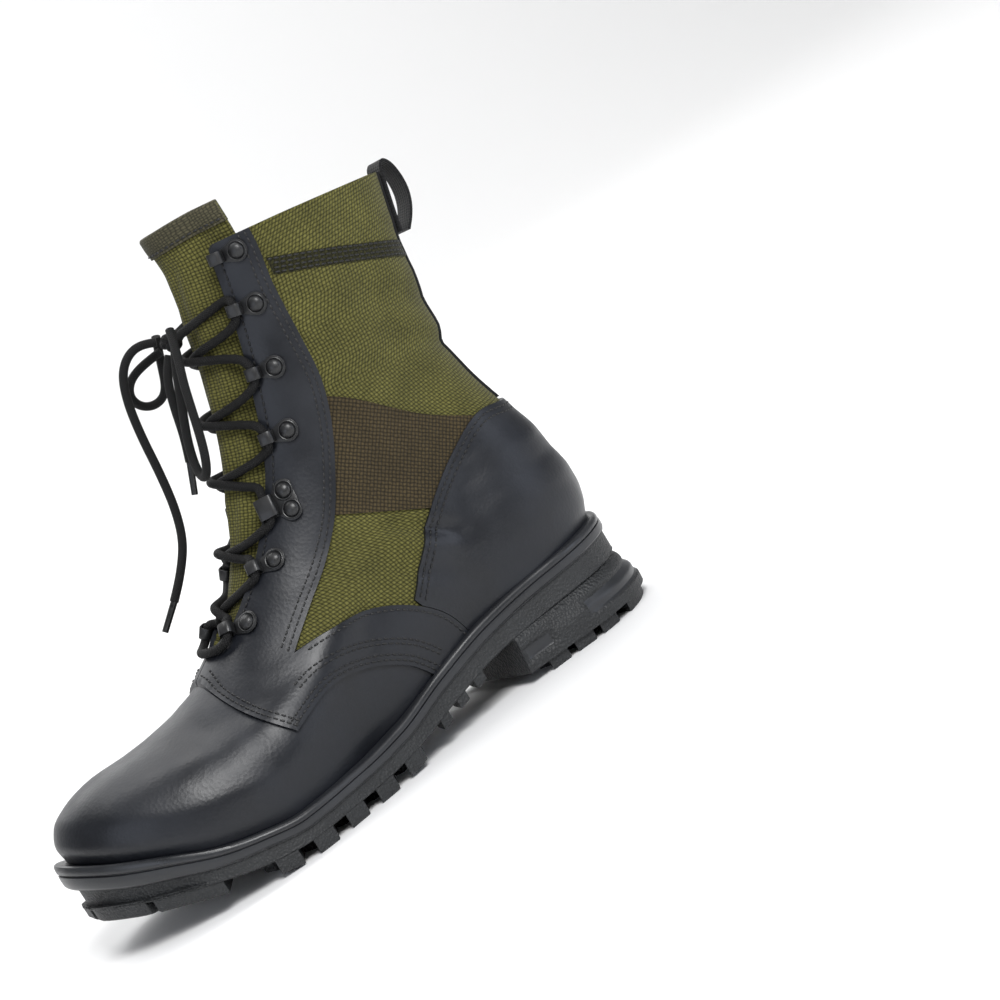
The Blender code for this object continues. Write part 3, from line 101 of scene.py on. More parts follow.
# The upper's rings from the sole to the collar, as in the solids
RINGS = table(
    "name back back_rise front front_rise follow w10 w30 w50 w70 w90 gap",
    (
        ("feather", -0.110, -0.043, 0.842, -0.043, 1.00, 0.282, 0.288, 0.312, 0.440, 0.355, 0.00),
        ("rand", -0.113, 0.004, 0.848, 0.004, 1.00, 0.294, 0.300, 0.324, 0.454, 0.370, 0.00),
        ("toe wall", -0.125, 0.049, 0.851, 0.035, 1.00, 0.303, 0.310, 0.336, 0.464, 0.380, 0.00),
        ("toe crown", -0.130, 0.088, 0.838, 0.087, 1.00, 0.306, 0.315, 0.345, 0.468, 0.378, 0.00),
        ("toe top", -0.130, 0.123, 0.810, 0.134, 1.00, 0.303, 0.315, 0.347, 0.453, 0.360, 0.00),
        ("vamp toe", -0.126, 0.157, 0.754, 0.191, 1.00, 0.295, 0.310, 0.340, 0.415, 0.325, 0.00),
        ("vamp low", -0.121, 0.186, 0.682, 0.238, 1.00, 0.280, 0.300, 0.325, 0.370, 0.250, 0.00),
        ("vamp", -0.118, 0.216, 0.610, 0.266, 0.90, 0.270, 0.290, 0.310, 0.340, 0.225, 0.00),
        ("vamp high", -0.115, 0.245, 0.554, 0.273, 0.70, 0.260, 0.280, 0.300, 0.315, 0.220, 0.00),
        ("throat", -0.110, 0.270, 0.515, 0.279, 0.50, 0.245, 0.275, 0.290, 0.305, 0.215, 0.00),
        ("instep low", -0.103, 0.299, 0.482, 0.299, 0.35, 0.230, 0.265, 0.285, 0.295, 0.210, 0.11),
        ("instep", -0.097, 0.328, 0.443, 0.328, 0.20, 0.220, 0.260, 0.280, 0.285, 0.205, 0.13),
        ("instep high", -0.089, 0.363, 0.400, 0.374, 0.10, 0.205, 0.255, 0.280, 0.285, 0.200, 0.14),
        ("instep top", -0.079, 0.407, 0.361, 0.431, 0.00, 0.195, 0.255, 0.285, 0.285, 0.200, 0.15),
        ("ankle low", -0.070, 0.456, 0.328, 0.505, 0.00, 0.190, 0.260, 0.295, 0.290, 0.200, 0.16),
        ("ankle", -0.064, 0.505, 0.302, 0.588, 0.00, 0.190, 0.270, 0.310, 0.295, 0.205, 0.17),
        ("ankle top", -0.066, 0.564, 0.282, 0.676, 0.00, 0.195, 0.280, 0.325, 0.305, 0.210, 0.18),
        ("shaft low", -0.072, 0.637, 0.262, 0.770, 0.00, 0.200, 0.290, 0.340, 0.315, 0.215, 0.19),
        ("shaft", -0.079, 0.725, 0.249, 0.863, 0.00, 0.210, 0.305, 0.350, 0.330, 0.220, 0.20),
        ("shaft high", -0.092, 0.824, 0.236, 0.941, 0.00, 0.220, 0.315, 0.360, 0.340, 0.225, 0.20),
        ("collar", -0.111, 0.936, 0.230, 1.000, 0.00, 0.220, 0.320, 0.365, 0.345, 0.230, 0.21),
        ("above collar", -0.128, 1.034, 0.233, 1.088, 0.00, 0.220, 0.320, 0.365, 0.345, 0.230, 0.21),
    ),
)
RAND_RING = RINGS["name"].index("rand")
THROAT_RING = RINGS["name"].index("throat")
COLLAR_RING = RINGS["name"].index("collar")
TONGUE_TOP_RING = RINGS["name"].index("above collar")
RING_PLACES = list(range(len(RINGS["name"])))


def smooth(shares, values, share):
    """The value at a share, on a curve through the rows that never overshoots them."""
    share = min(max(share, shares[0]), shares[-1])
    last = len(shares) - 1
    place = 0
    while place < last - 1 and share > shares[place + 1]:
        place += 1

    def slope(row):
        if row == 0 or row == last:
            near = max(row - 1, 0)
            return (values[near + 1] - values[near]) / (shares[near + 1] - shares[near])
        before = (values[row] - values[row - 1]) / (shares[row] - shares[row - 1])
        after = (values[row + 1] - values[row]) / (shares[row + 1] - shares[row])
        if before * after <= 0:
            return 0.0
        return 2 * before * after / (before + after)

    width = shares[place + 1] - shares[place]
    part = (share - shares[place]) / width
    rise = slope(place) * width
    land = slope(place + 1) * width
    first, second = values[place], values[place + 1]
    return (
        (2 * part**3 - 3 * part**2 + 1) * first
        + (part**3 - 2 * part**2 + part) * rise
        + (3 * part**2 - 2 * part**3) * second
        + (part**3 - part**2) * land
    )


def sole_share(x):
    """Where x lies along the sole, from 0 at the heel to 1 at the toe."""
    return min(max((x + HEEL_REACH) / SOLE_LENGTH, 0.0), 1.0)


def sole_height(column, x):
    """A height column of the sole at x."""
    return smooth(SOLE["share"], SOLE[column], sole_share(x)) * HEEL_HEIGHT


def sole_centre(x):
    """How far the sole's middle line has swung at x."""
    return smooth(SOLE["share"], SOLE["centre"], sole_share(x)) * BALL_WIDTH


def grown(loop, amount):
    """A flat loop moved outwards by amount, one number or one for each point."""
    count = len(loop)
    amounts = amount if isinstance(amount, list) else [amount] * count
    moved = []
    for place, point in enumerate(loop):
        along = loop[(place + 1) % count] - loop[place - 1]
        outward = Vector((-along.y, along.x, 0)).normalized()
        moved.append(Vector((point.x, point.y, 0)) + outward * amounts[place])
    return moved


@functools.lru_cache(None)
def ring_value(name, ring):
    """A column of the rings at any place between two rings."""
    return smooth(RING_PLACES, RINGS[name], ring)


@functools.lru_cache(None)
def ring_widths(ring):
    """The stations of a ring and the half widths of the ellipses that fit there."""
    stations = (0.1, 0.3, 0.5, 0.7, 0.9)
    widths = []
    for station in stations:
        width = ring_value("w%d" % round(station * 100), ring)
        widths.append(width / (2 * math.sqrt(station * (1 - station))))
    heel = widths[0] + 0.4 * (widths[0] - widths[1])
    toe = widths[-1] + 0.4 * (widths[-1] - widths[-2])
    return [0.0, *stations, 1.0], [heel, *widths, toe]


def ring_fullness(ring, share):
    """Half width of the ellipse that fits a ring at a share of its length."""
    return smooth(*ring_widths(ring), share) * BALL_WIDTH


def ring_point(ring, angle):
    """A point of the upper's outside: angle 0 at the back, pi at the front, + to the outer side."""
    share = (1 - math.cos(angle)) / 2
    back = ring_value("back", ring) * SOLE_LENGTH
    front = ring_value("front", ring) * SOLE_LENGTH
    x = back + (front - back) * share
    rise = ring_value("back_rise", ring) * (1 - share) + ring_value("front_rise", ring) * share
    follow = ring_value("follow", ring)
    z = HEEL_HEIGHT + follow * (sole_height("rand_top", x) - HEEL_HEIGHT)
    z += rise * (BOOT_HEIGHT - HEEL_HEIGHT)
    y = follow * sole_centre(x) + ring_fullness(ring, share) * math.sin(angle)
    return Vector((x, y, z))


def around(columns):
    """The angles of a closed loop of columns, from the heel round by +Y."""
    return [math.tau * column / columns for column in range(columns)]


def sole_outline(columns):
    """The sole's widest outline."""
    points = []
    for angle in around(columns):
        share = (1 - math.cos(angle)) / 2
        x = SOLE_LENGTH * share - HEEL_REACH
        half = smooth(SOLE["share"], SOLE["fullness"], share) * BALL_WIDTH
        points.append(Vector((x, sole_centre(x) + half * math.sin(angle), 0)))
    return points


def rand_top(x):
    """The height of the rand's upper edge at x."""
    return sole_height("rand_top", x)


def below_rand(share_of_band, drop=0.0):
    """A height under the rand's top, as a share of its band."""
    return lambda x: rand_top(x) - share_of_band * sole_height("band", x) - drop


def underside(lift):
    """A height over the sole's underside, without its lugs."""
    return lambda x: sole_height("underside", x) + lift


def at_heights(loop, height):
    """A flat loop lifted to a height that is a function of x."""
    return [Vector((point.x, point.y, height(point.x))) for point in loop]


def strip_faces(shape, first, second, closed, finish=0):
    """Quads between two rows of vertices."""
    count = len(first)
    faces = []
    for place in range(count if closed else count - 1):
        after = (place + 1) % count
        face = shape.faces.new((first[place], first[after], second[after], second[place]))
        face.material_index = finish
        faces.append(face)
    return faces


def close_across(shape, row):
    """Close a loop by strips from side to side."""
    half = len(row) // 2
    shape.faces.new((row[0], row[1], row[-1]))
    for place in range(1, half - 1):
        shape.faces.new((row[place], row[place + 1], row[-place - 1], row[-place]))
    shape.faces.new((row[half - 1], row[half], row[half + 1]))


def stacked(shape, loops):
    """Loops of points with their finishes, joined in their order and closed at both ends."""
    last_row = None
    for loop, finish in loops:
        row = [shape.verts.new(point) for point in loop]
        if last_row is None:
            close_across(shape, row)
        else:
            strip_faces(shape, last_row, row, True, finish)
        last_row = row
    close_across(shape, last_row)


def step(low, high, value):
    """From 0 at low to 1 at high, with soft ends."""
    part = min(max((value - low) / (high - low), 0.0), 1.0)
    return part * part * (3 - 2 * part)


GLOSSY, GRAINED = 0, 1
outline = sole_outline(SOLE_COLUMNS)
feather_loop = [ring_point(0, angle) for angle in around(SOLE_COLUMNS)]
rand_loop = [ring_point(RAND_RING, angle) for angle in around(SOLE_COLUMNS)]
recess = [
    -WALL_STEP - BUMPER_RECESS * step(BUMPER_START, BUMPER_START + 0.06, sole_share(point.x))
    for point in outline
]
half_recess = [amount * 0.3 for amount in recess]
# From the bed over the rand and down the wall: a loop, how far it is grown, its height, its finish
SOLE_ROWS = (
    (feather_loop, GAP, below_rand(0, BED_DEPTH), GLOSSY),
    (rand_loop, GAP, below_rand(0.10), GLOSSY),
    (rand_loop, GAP + 0.5 * MM, below_rand(0.02), GLOSSY),
    (outline, -RAND_LIP * 0.85, below_rand(0.0), GLOSSY),
    (outline, -RAND_LIP * 0.4, below_rand(0.05), GLOSSY),
    (outline, -RAND_LIP * 0.12, below_rand(0.16), GLOSSY),
    (outline, -0.1 * MM, below_rand(0.30), GLOSSY),
    (outline, -0.15 * MM, below_rand(0.37), GLOSSY),
    (outline, -RAND_GROOVE, below_rand(0.40), GLOSSY),
    (outline, -RAND_GROOVE, below_rand(0.43), GLOSSY),
    (outline, 0.0, below_rand(0.47), GLOSSY),
    (outline, 0.2 * MM, below_rand(0.65), GLOSSY),
    (outline, 0.1 * MM, below_rand(0.86), GLOSSY),
    (outline, -0.5 * MM, below_rand(0.94), GLOSSY),
    (outline, half_recess, below_rand(0.98), GRAINED),
    (outline, recess, below_rand(1.05), GRAINED),
    (outline, recess, underside(WALL_STEP), GRAINED),
    (outline, -WALL_STEP * 0.9, underside(0.6 * MM), GRAINED),
    (outline, -WALL_STEP * 1.2, underside(0.0), GRAINED),
)
sole_shape = bmesh.new()
stacked(
    sole_shape,
    [(at_heights(grown(loop, out), height), finish) for loop, out, height, finish in SOLE_ROWS],
)
for face in sole_shape.faces[-(SOLE_COLUMNS // 2):]:
    face.material_index = GRAINED

# The heel block, flared to the back, with a long slot round the back and a short one ahead of it
SLOT_DEPTH = 1.6 * MM
SLOTS = table(
    "rear front low high",
    ((-60 * MM, 2 * MM, 11 * MM, 19 * MM), (24 * MM, 40 * MM, 10.5 * MM, 17 * MM)),
)
HEEL_ROWS = 22
breast = (LATERAL_BREAST + MEDIAL_BREAST) / 2
heel_top = sole_height("underside", 0)


def heel_reach_back(x):
    """From 1 at the back of the heel to 0 at its breast."""
    return min(max(1 - (x + HEEL_REACH) / breast, 0.0), 1.0)


def slot_depth(x, z):
    """How deep the heel's side is sunk at a place."""
    depth = 0.0
    soft = 1.2 * MM
    for rear, front, low, high in zip(*(SLOTS[name] for name in ("rear", "front", "low", "high"))):
        along = step(rear - soft, rear + soft, x) * (1 - step(front - soft, front + soft, x))
        up = step(low - soft, low + soft, z) * (1 - step(high - soft, high + soft, z))
        depth = max(depth, along * up * SLOT_DEPTH)
    return depth


heel_shape = bmesh.new()
heel_loops = []
for place in range(HEEL_ROWS + 1):
    part = place / HEEL_ROWS
    z = heel_top + (HEEL_LUG - heel_top) * part
    swell = smooth([0.0, 0.25, 0.55, 1.0], [0.0, 0.05, 1.0, 0.9], part)
    tuck = smooth([0.0, 0.25, 1.0], [-2 * WALL_STEP, -0.5 * MM, -0.5 * MM], part)
    amounts = [
        tuck + swell * HEEL_FLARE * heel_reach_back(point.x) - slot_depth(point.x, z)
        for point in outline
    ]
    heel_loops.append(([Vector((p.x, p.y, z)) for p in grown(outline, amounts)], GRAINED))
stacked(heel_shape, heel_loops)
for face in heel_shape.faces:
    face.material_index = GRAINED
cut = bmesh.ops.bisect_plane(
    heel_shape,
    geom=heel_shape.verts[:] + heel_shape.edges[:] + heel_shape.faces[:],
    plane_co=(breast - HEEL_REACH, 0, 0),
    plane_no=(1, (MEDIAL_BREAST - LATERAL_BREAST) / (2 * BALL_WIDTH / 3), 0.12),
    clear_outer=True,
)
cut_edges = [part for part in cut["geom_cut"] if isinstance(part, bmesh.types.BMEdge)]
bmesh.ops.holes_fill(heel_shape, edges=cut_edges)
for face in heel_shape.faces:
    middle = face.calc_center_median()
    if slot_depth(middle.x, middle.z) > 0.7 * SLOT_DEPTH and abs(middle.y) > 10 * MM:
        face.material_index = GLOSSY
heel_mesh = bpy.data.meshes.new("heel")
bmesh.ops.recalc_face_normals(heel_shape, faces=heel_shape.faces)
heel_shape.to_mesh(heel_mesh)
heel_shape.free()
sole_shape.from_mesh(heel_mesh)
bpy.data.meshes.remove(heel_mesh)

# Lugs: chevrons along both edges, winged lugs down the middle, a fan of blocks at the toe,
# short bars at the waist, and the heel's own
LATERAL_CHEVRONS = (0.505, 0.567, 0.629, 0.691, 0.753)
MEDIAL_CHEVRONS = (0.540, 0.606, 0.672, 0.738)
CENTRE_LUGS = (0.545, 0.617, 0.689, 0.761)
WAIST_BARS = (0.345, 0.385, 0.425)
HEEL_BARS = (0.118, 0.168, 0.218)
HEEL_PLATE_END = 0.052
TOE_CENTRE = 0.785
TOE_PLATE_INNER = 17 * MM
TOE_GROOVE = 0.07
TOE_GROOVE_ANGLES = (-1.35, -0.62, -0.05, 0.55, 1.25)
LUG_BEVEL = 0.7 * MM


def edge_at(x, side):
    """The sole's edge at x, on one side."""
    share = sole_share(x)
    half = smooth(SOLE["share"], SOLE["fullness"], share) * BALL_WIDTH
    return sole_centre(x) + side * half * 2 * math.sqrt(max(share * (1 - share), 0.0))


def lug(points, low, high):
    """A block under the sole: its foot is chamfered, and its top sinks into the sole."""
    middle = sum(points, Vector((0, 0))) / len(points)
    top, side, foot = [], [], []
    for point in points:
        inward = (middle - point).normalized() * LUG_BEVEL
        top.append(sole_shape.verts.new((point.x, point.y, high(point.x))))
        side.append(sole_shape.verts.new((point.x, point.y, low(point.x) + LUG_BEVEL)))
        inner = point + inward
        foot.append(sole_shape.verts.new((inner.x, inner.y, low(inner.x))))
    made = strip_faces(sole_shape, top, side, True, GRAINED)
    made += strip_faces(sole_shape, side, foot, True, GRAINED)
    for row in (top, foot):
        face = sole_shape.faces.new(row)
        face.material_index = GRAINED
        made.append(face)
    bmesh.ops.recalc_face_normals(sole_shape, faces=made)


def edge_lug(share, side, local, low, high, overhang=0.0):
    """A lug at the sole's edge: local points run forward and inward from the edge."""
    x = SOLE_LENGTH * share - HEEL_REACH
    points = []
    for forward, inward in local:
        inset = LUG_INSET - overhang * heel_reach_back(x)
        reach = edge_at(x + forward * MM, side) - side * max(inward * MM, inset)
        points.append(Vector((x + forward * MM, reach)))
    lug(points, low, high)


def tread(x):
    """The height of the lugs' feet at x, which climbs at the toe."""
    return sole_height("tread", x)


def floor_level(x):
    """The height of the heel's feet."""
    return 0.0


def heel_lug_top(x):
    """How far up the heel's lugs reach, into its block."""
    return HEEL_LUG + LUG_SINK


CHEVRON = ((5, -4), (-1, -4), (-6, -4), (-12, 19), (-2, 27), (6, 22), (3, 17), (-2, 18))
for share in LATERAL_CHEVRONS:
    edge_lug(share, 1, CHEVRON, tread, underside(LUG_SINK))
for share in MEDIAL_CHEVRONS:
    edge_lug(share, -1, CHEVRON, tread, underside(LUG_SINK))
WAIST_BAR = ((3, -4), (-3, -4), (-4, 13), (2, 13))
for share in WAIST_BARS:
    for side in (1, -1):
        edge_lug(share, side, WAIST_BAR, tread, underside(LUG_SINK))
WINGED = ((12, 4), (4, 5), (-4, 14), (-10, 12), (-6, 4))
for share in CENTRE_LUGS:
    x = SOLE_LENGTH * share - HEEL_REACH
    middle = sole_centre(x)
    near = [Vector((x + forward * MM, middle + aside * MM)) for forward, aside in WINGED]
    far = [Vector((x + forward * MM, middle - aside * MM)) for forward, aside in WINGED[::-1]]
    lug(near + far, tread, underside(LUG_SINK))


def toe_reach(middle, angle):
    """How far the sole's inset edge is from a point, in one direction."""
    reach = 20 * MM
    way = Vector((math.cos(angle), math.sin(angle)))
    while True:
        point = middle + way * reach
        side = 1 if point.y > sole_centre(point.x) else -1
        inside = abs(edge_at(point.x, side) - sole_centre(point.x)) - LUG_INSET * 1.2
        if sole_share(point.x) > 0.992 or abs(point.y - sole_centre(point.x)) > inside:
            return reach - 0.5 * MM
        reach += 0.5 * MM


toe_x = SOLE_LENGTH * TOE_CENTRE - HEEL_REACH
toe_middle = Vector((toe_x, sole_centre(toe_x)))
for start, end in zip(TOE_GROOVE_ANGLES, TOE_GROOVE_ANGLES[1:]):
    fan = [start + TOE_GROOVE / 2 + (end - start - TOE_GROOVE) * part / 8 for part in range(9)]
    inner = [toe_middle + Vector((math.cos(a), math.sin(a))) * TOE_PLATE_INNER for a in fan]
    outer = [
        toe_middle + Vector((math.cos(a), math.sin(a))) * toe_reach(toe_middle, a)
        for a in fan[::-1]
    ]
    lug(inner + outer, tread, underside(LUG_SINK))

HEEL_BAR = ((5, -8), (-1, -8), (-6, -8), (-8, 16), (-2, 24), (4, 20), (1, 14))
for share in HEEL_BARS:
    for side in (1, -1):
        edge_lug(share, side, HEEL_BAR, floor_level, heel_lug_top, 0.6 * HEEL_FLARE)
HEEL_MIDDLE = ((-12, -7), (34, -7), (34, 7), (-12, 7))
lug([Vector(corner) * MM for corner in HEEL_MIDDLE], floor_level, heel_lug_top)
HEEL_PLATE_FRONT = ((7, 22), (3, 14), (6, 2))
plate_end = SOLE_LENGTH * HEEL_PLATE_END - HEEL_REACH
heel_edge = grown(outline, 0.6 * HEEL_FLARE - LUG_INSET)
for side in (1, -1):
    back = [
        Vector((point.x, point.y))
        for point in heel_edge
        if point.x < plate_end + 6 * MM and side * point.y > 2 * MM
    ]
    back.sort(key=lambda point: side * point.y)
    front = [
        Vector((plate_end + ahead * MM, side * aside * MM)) for ahead, aside in HEEL_PLATE_FRONT
    ]
    lug(back + front, floor_level, heel_lug_top)

bmesh.ops.recalc_face_normals(
    sole_shape, faces=sole_shape.faces[: SOLE_COLUMNS * len(SOLE_ROWS)]
)


def hex_colour(text):
    """A linear colour from an sRGB hex value."""
    values = [int(text[place : place + 2], 16) / 255 for place in (1, 3, 5)]
    linear = [v / 12.92 if v <= 0.04045 else ((v + 0.055) / 1.055) ** 2.4 for v in values]
    return (*linear, 1.0)


def feed(tree, node, values):
    """Values or links put into a node's inputs."""
    for key, value in values.items():
        if isinstance(value, bpy.types.NodeSocket):
            tree.links.new(value, node.inputs[key])
        else:
            node.inputs[key].default_value = value


def add_node(tree, kind, inputs, **settings):
    """A node with its settings and its inputs."""
    made = tree.nodes.new(kind)
    for name, value in settings.items():
        setattr(made, name, value)
    feed(tree, made, inputs)
    return made


def noise(tree, scale, detail, **more):
    """Noise through the piece's own space, from 0 to 1."""
    place = add_node(tree, "ShaderNodeTexCoord", {}).outputs["Object"]
    inputs = {"Vector": place, "Scale": scale, "Detail": detail, **more}
    return add_node(tree, "ShaderNodeTexNoise", inputs).outputs["Fac"]


def cell_depth(tree, scale):
    """The distance to the nearest of many scattered points, for leather and moulded grain."""
    place = add_node(tree, "ShaderNodeTexCoord", {}).outputs["Object"]
    inputs = {"Vector": place, "Scale": scale}
    return add_node(tree, "ShaderNodeTexVoronoi", inputs, feature="F1").outputs["Distance"]


def mixed(tree, share, first, second, **settings):
    """Two colours mixed by a share, each a hex value or an output."""
    first, second = [hex_colour(c) if isinstance(c, str) else c for c in (first, second)]
    inputs = {0: share, 6: first, 7: second}
    return add_node(tree, "ShaderNodeMix", inputs, data_type="RGBA", **settings).outputs[2]


def spread(tree, value, low, high):
    """The middle of a noise's range spread between two values."""
    inputs = {"Value": value, "From Min": 0.3, "From Max": 0.7, "To Min": low, "To Max": high}
    return add_node(tree, "ShaderNodeMapRange", inputs).outputs["Result"]


def maths(tree, operation, *values):
    """The result of a maths node."""
    inputs = dict(enumerate(values))
    return add_node(tree, "ShaderNodeMath", inputs, operation=operation).outputs[0]


def relief(tree, height, strength, depth):
    """A bumped normal from a height."""
    inputs = {"Strength": strength, "Distance": depth, "Height": height}
    return add_node(tree, "ShaderNodeBump", inputs).outputs["Normal"]


def new_material(name):
    """A material, its tree and its shader."""
    made = bpy.data.materials.new(name)
    made.use_nodes = True
    return made, made.node_tree, made.node_tree.nodes["Principled BSDF"]


# Injection-moulded rubber, polished mould: a soft gloss with faint dust in broad patches
rand_rubber, tree, shader = new_material("moulded rubber, glossy")
dust = noise(tree, 45.0, 6.0)
feed(
    tree,
    shader,
    {
        "Base Color": mixed(tree, dust, "#131416", "#2a2c30"),
        "Roughness": spread(tree, dust, 0.26, 0.46),
        "Normal": relief(tree, noise(tree, 900.0, 3.0), 0.25, 0.2 * MM),
    },
)

# The same rubber from a spark-eroded mould: grain of about 1 mm, dull and dusty
grained_rubber, tree, shader = new_material("moulded rubber, grained")
feed(
    tree,
    shader,
    {
        "Base Color": mixed(tree, noise(tree, 60.0, 5.0), "#0f1011", "#242628"),
        "Roughness": 0.55,
        "Normal": relief(tree, cell_depth(tree, 800.0), 0.8, 0.6 * MM),
    },
)


def linked(name, data):
    """An object of a mesh, a light or a camera, in the scene."""
    made = bpy.data.objects.new(name, data)
    bpy.context.scene.collection.objects.link(made)
    return made


def object_of(name, shape):
    """An object made from a bmesh, which is used up."""
    mesh = bpy.data.meshes.new(name)
    shape.to_mesh(mesh)
    shape.free()
    return linked(name, mesh)


def smoothed(mesh, flat_above):
    """Smooth shading, with edges sharp above an angle in degrees."""
    mesh.shade_smooth()
    mesh.set_sharp_from_angle(angle=math.radians(flat_above))


def mounted(made, nodes):
    """A piece of the boot, in place of the solids of its name."""
    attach(made, "root")
    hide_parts(*nodes)


def finished(name, shape, finishes, nodes, flat_above=40):
    """A piece of the boot from a bmesh."""
    made = object_of(name, shape)
    for finish in finishes:
        made.data.materials.append(finish)
    smoothed(made.data, flat_above)
    mounted(made, nodes)
    return made


finished("sole", sole_shape, (rand_rubber, grained_rubber), ["outsole"], 35)


# Upper
# One shell with a 2 mm wall: black vamp leather over the toe, olive canvas at the quarters and
# the shaft, and a dark drill lining inside. It is soft, so it has the folds of wear.

UPPER_WALL = 2.0 * MM
RING_STEP = 0.25
UPPER_COLUMNS = 168

# Folds, seen from the outer side, in millimetres: ends in x and z, depth and width.
# A negative depth is a ridge.
CANVAS_FOLDS = (
    (-24, 150, 14, 171, 2.4, 4.0),
    (-22, 160, 26, 183, -1.5, 4.5),
    (-22, 174, 18, 196, 2.0, 4.5),
    (-24, 188, 20, 208, -0.9, 5.0),
    (-26, 206, 2, 216, 1.2, 4.5),
    (22, 190, 50, 206, 1.1, 6.0),
    (8, 226, 40, 238, 1.0, 6.0),
    (34, 78, 66, 104, 2.4, 3.2),
    (44, 74, 74, 100, -1.5, 3.4),
    (54, 66, 78, 90, 2.2, 3.2),
)
VAMP_FOLDS = (
    (170, 88, 162, 50, 0.8, 4.0),
    (180, 84, 174, 46, -0.6, 4.5),
    (188, 82, 184, 48, 0.7, 4.0),
    (204, 80, 212, 46, -0.3, 6.0),
    (100, 60, 150, 34, 0.5, 5.0),
)


def fold_depth(x, z):
    """How far the folds push the surface in at a place."""
    depth = 0.0
    for x0, z0, x1, z1, deep, wide in CANVAS_FOLDS + VAMP_FOLDS:
        start = Vector((x0, z0)) * MM
        run = Vector((x1, z1)) * MM - start
        here = Vector((x, z)) - start
        part = min(max(here.dot(run) / run.length_squared, 0.0), 1.0)
        away = (here - run * part).length
        if away < 3 * wide * MM:
            fade = math.sin(math.pi * (0.12 + 0.76 * part))
            depth += deep * MM * fade * math.exp(-((away / (wide * MM)) ** 2))
    return depth


def gap_angle(ring):
    """Half the angle that the throat opens at a ring."""
    if ring <= THROAT_RING:
        return 0.0
    return math.asin(ring_value("gap", ring) * BALL_WIDTH / ring_fullness(ring, 1.0))


def ring_normal(ring, angle):
    """The outward normal of the upper at a ring and an angle."""
    turn = 0.02
    along = ring_point(ring, angle + turn) - ring_point(ring, angle - turn)
    low = max(ring - 0.3, 0.0)
    high = min(ring + 0.3, TONGUE_TOP_RING)
    up = ring_point(high, angle) - ring_point(low, angle)
    return up.cross(along).normalized()


def skin_point(ring, angle, lift=0.0):
    """A point of the worn upper's outside, or of a layer over it."""
    point = ring_point(ring, angle)
    normal = ring_normal(ring, angle)
    return point + normal * (lift - fold_depth(point.x, point.z))


def skin(low_ring, high_ring, low_share, high_share, lift):
    """A sheet of the upper's outside between two rings and two shares round it, with its cloth
    coordinates in metres."""
    shape = bmesh.new()
    cloth = shape.loops.layers.uv.new("cloth")
    steps = round((high_ring - low_ring) / RING_STEP)
    rings = [low_ring + (high_ring - low_ring) * place / steps for place in range(steps + 1)]
    columns = max(round(UPPER_COLUMNS * (high_share - low_share) / 2), 8)
    shares = [low_share + (high_share - low_share) * c / columns for c in range(columns + 1)]
    rows, places = [], []
    middle = min(range(len(shares)), key=lambda place: abs(shares[place]))
    for ring in rings:
        reach = math.pi - gap_angle(ring)
        points = [skin_point(ring, reach * share, lift) for share in shares]
        rows.append([shape.verts.new(point) for point in points])
        run = [0.0]
        for first, second in zip(points, points[1:]):
            run.append(run[-1] + (second.xy - first.xy).length)
        start = run[middle] + points[middle].x
        places.append([(gone - start, point.z) for gone, point in zip(run, points)])
    for level in range(len(rows) - 1):
        faces = strip_faces(shape, rows[level], rows[level + 1], False)
        for place, face in enumerate(faces):
            corners = (
                places[level][place],
                places[level][place + 1],
                places[level + 1][place + 1],
                places[level + 1][place],
            )
            for loop, corner in zip(face.loops, corners):
                loop[cloth].uv = corner
    bmesh.ops.remove_doubles(shape, verts=shape.verts, dist=0.01 * MM)
    bmesh.ops.recalc_face_normals(shape, faces=shape.faces)
    outward = sum(
        face.normal.dot(Vector((0, face.calc_center_median().y, 0))) for face in shape.faces
    )
    if outward < 0:
        bmesh.ops.reverse_faces(shape, faces=shape.faces)
    return shape


def applied(thing, kind, **settings):
    """A modifier added to a piece and applied at once."""
    worker = thing.modifiers.new(kind.lower(), kind)
    for name, value in settings.items():
        setattr(worker, name, value)
    bpy.context.view_layer.objects.active = thing
    bpy.ops.object.modifier_apply(modifier=worker.name)


# Where the vamp leather ends under the eyestay and its wing, in x and z from the rand up
VAMP_EDGE = ((66, -10), (75, 44), (90, 62), (106, 70), (126, 74), (142, 80), (152, 94), (158, 130))


def on_vamp(x, z):
    """Whether a place is ahead of the vamp's edge."""
    if x > VAMP_EDGE[-1][0] * MM:
        return True
    for (x0, z0), (x1, z1) in zip(VAMP_EDGE, VAMP_EDGE[1:]):
        if x0 * MM <= x <= x1 * MM:
            return z < (z0 + (z1 - z0) * (x / MM - x0) / (x1 - x0)) * MM
    return False


# Full-grain leather, drum-dyed and polished black: fine grain, a gloss, rubbed places, and a
# blue-grey tint in its colour that is painted sheen
leather, tree, shader = new_material("polished grain leather")
wear = noise(tree, 38.0, 7.0)
lines = noise(tree, 130.0, 5.0, Distortion=0.8)
grain = maths(tree, "MULTIPLY_ADD", lines, 1.6, cell_depth(tree, 620.0))
feed(
    tree,
    shader,
    {
        # Both colours are black tinted blue-grey: the tint is painted sheen, not the leather's own
        # colour.
        "Base Color": mixed(tree, wear, "#0c0d10", "#1e2128"),
        "Specular IOR Level": 0.38,
        "Roughness": spread(tree, wear, 0.30, 0.48),
        "Normal": relief(tree, grain, 0.13, 0.4 * MM),
    },
)


def cloth_place(tree):
    """The cloth coordinates of a piece."""
    return add_node(tree, "ShaderNodeUVMap", {}, uv_map="cloth").outputs[0]


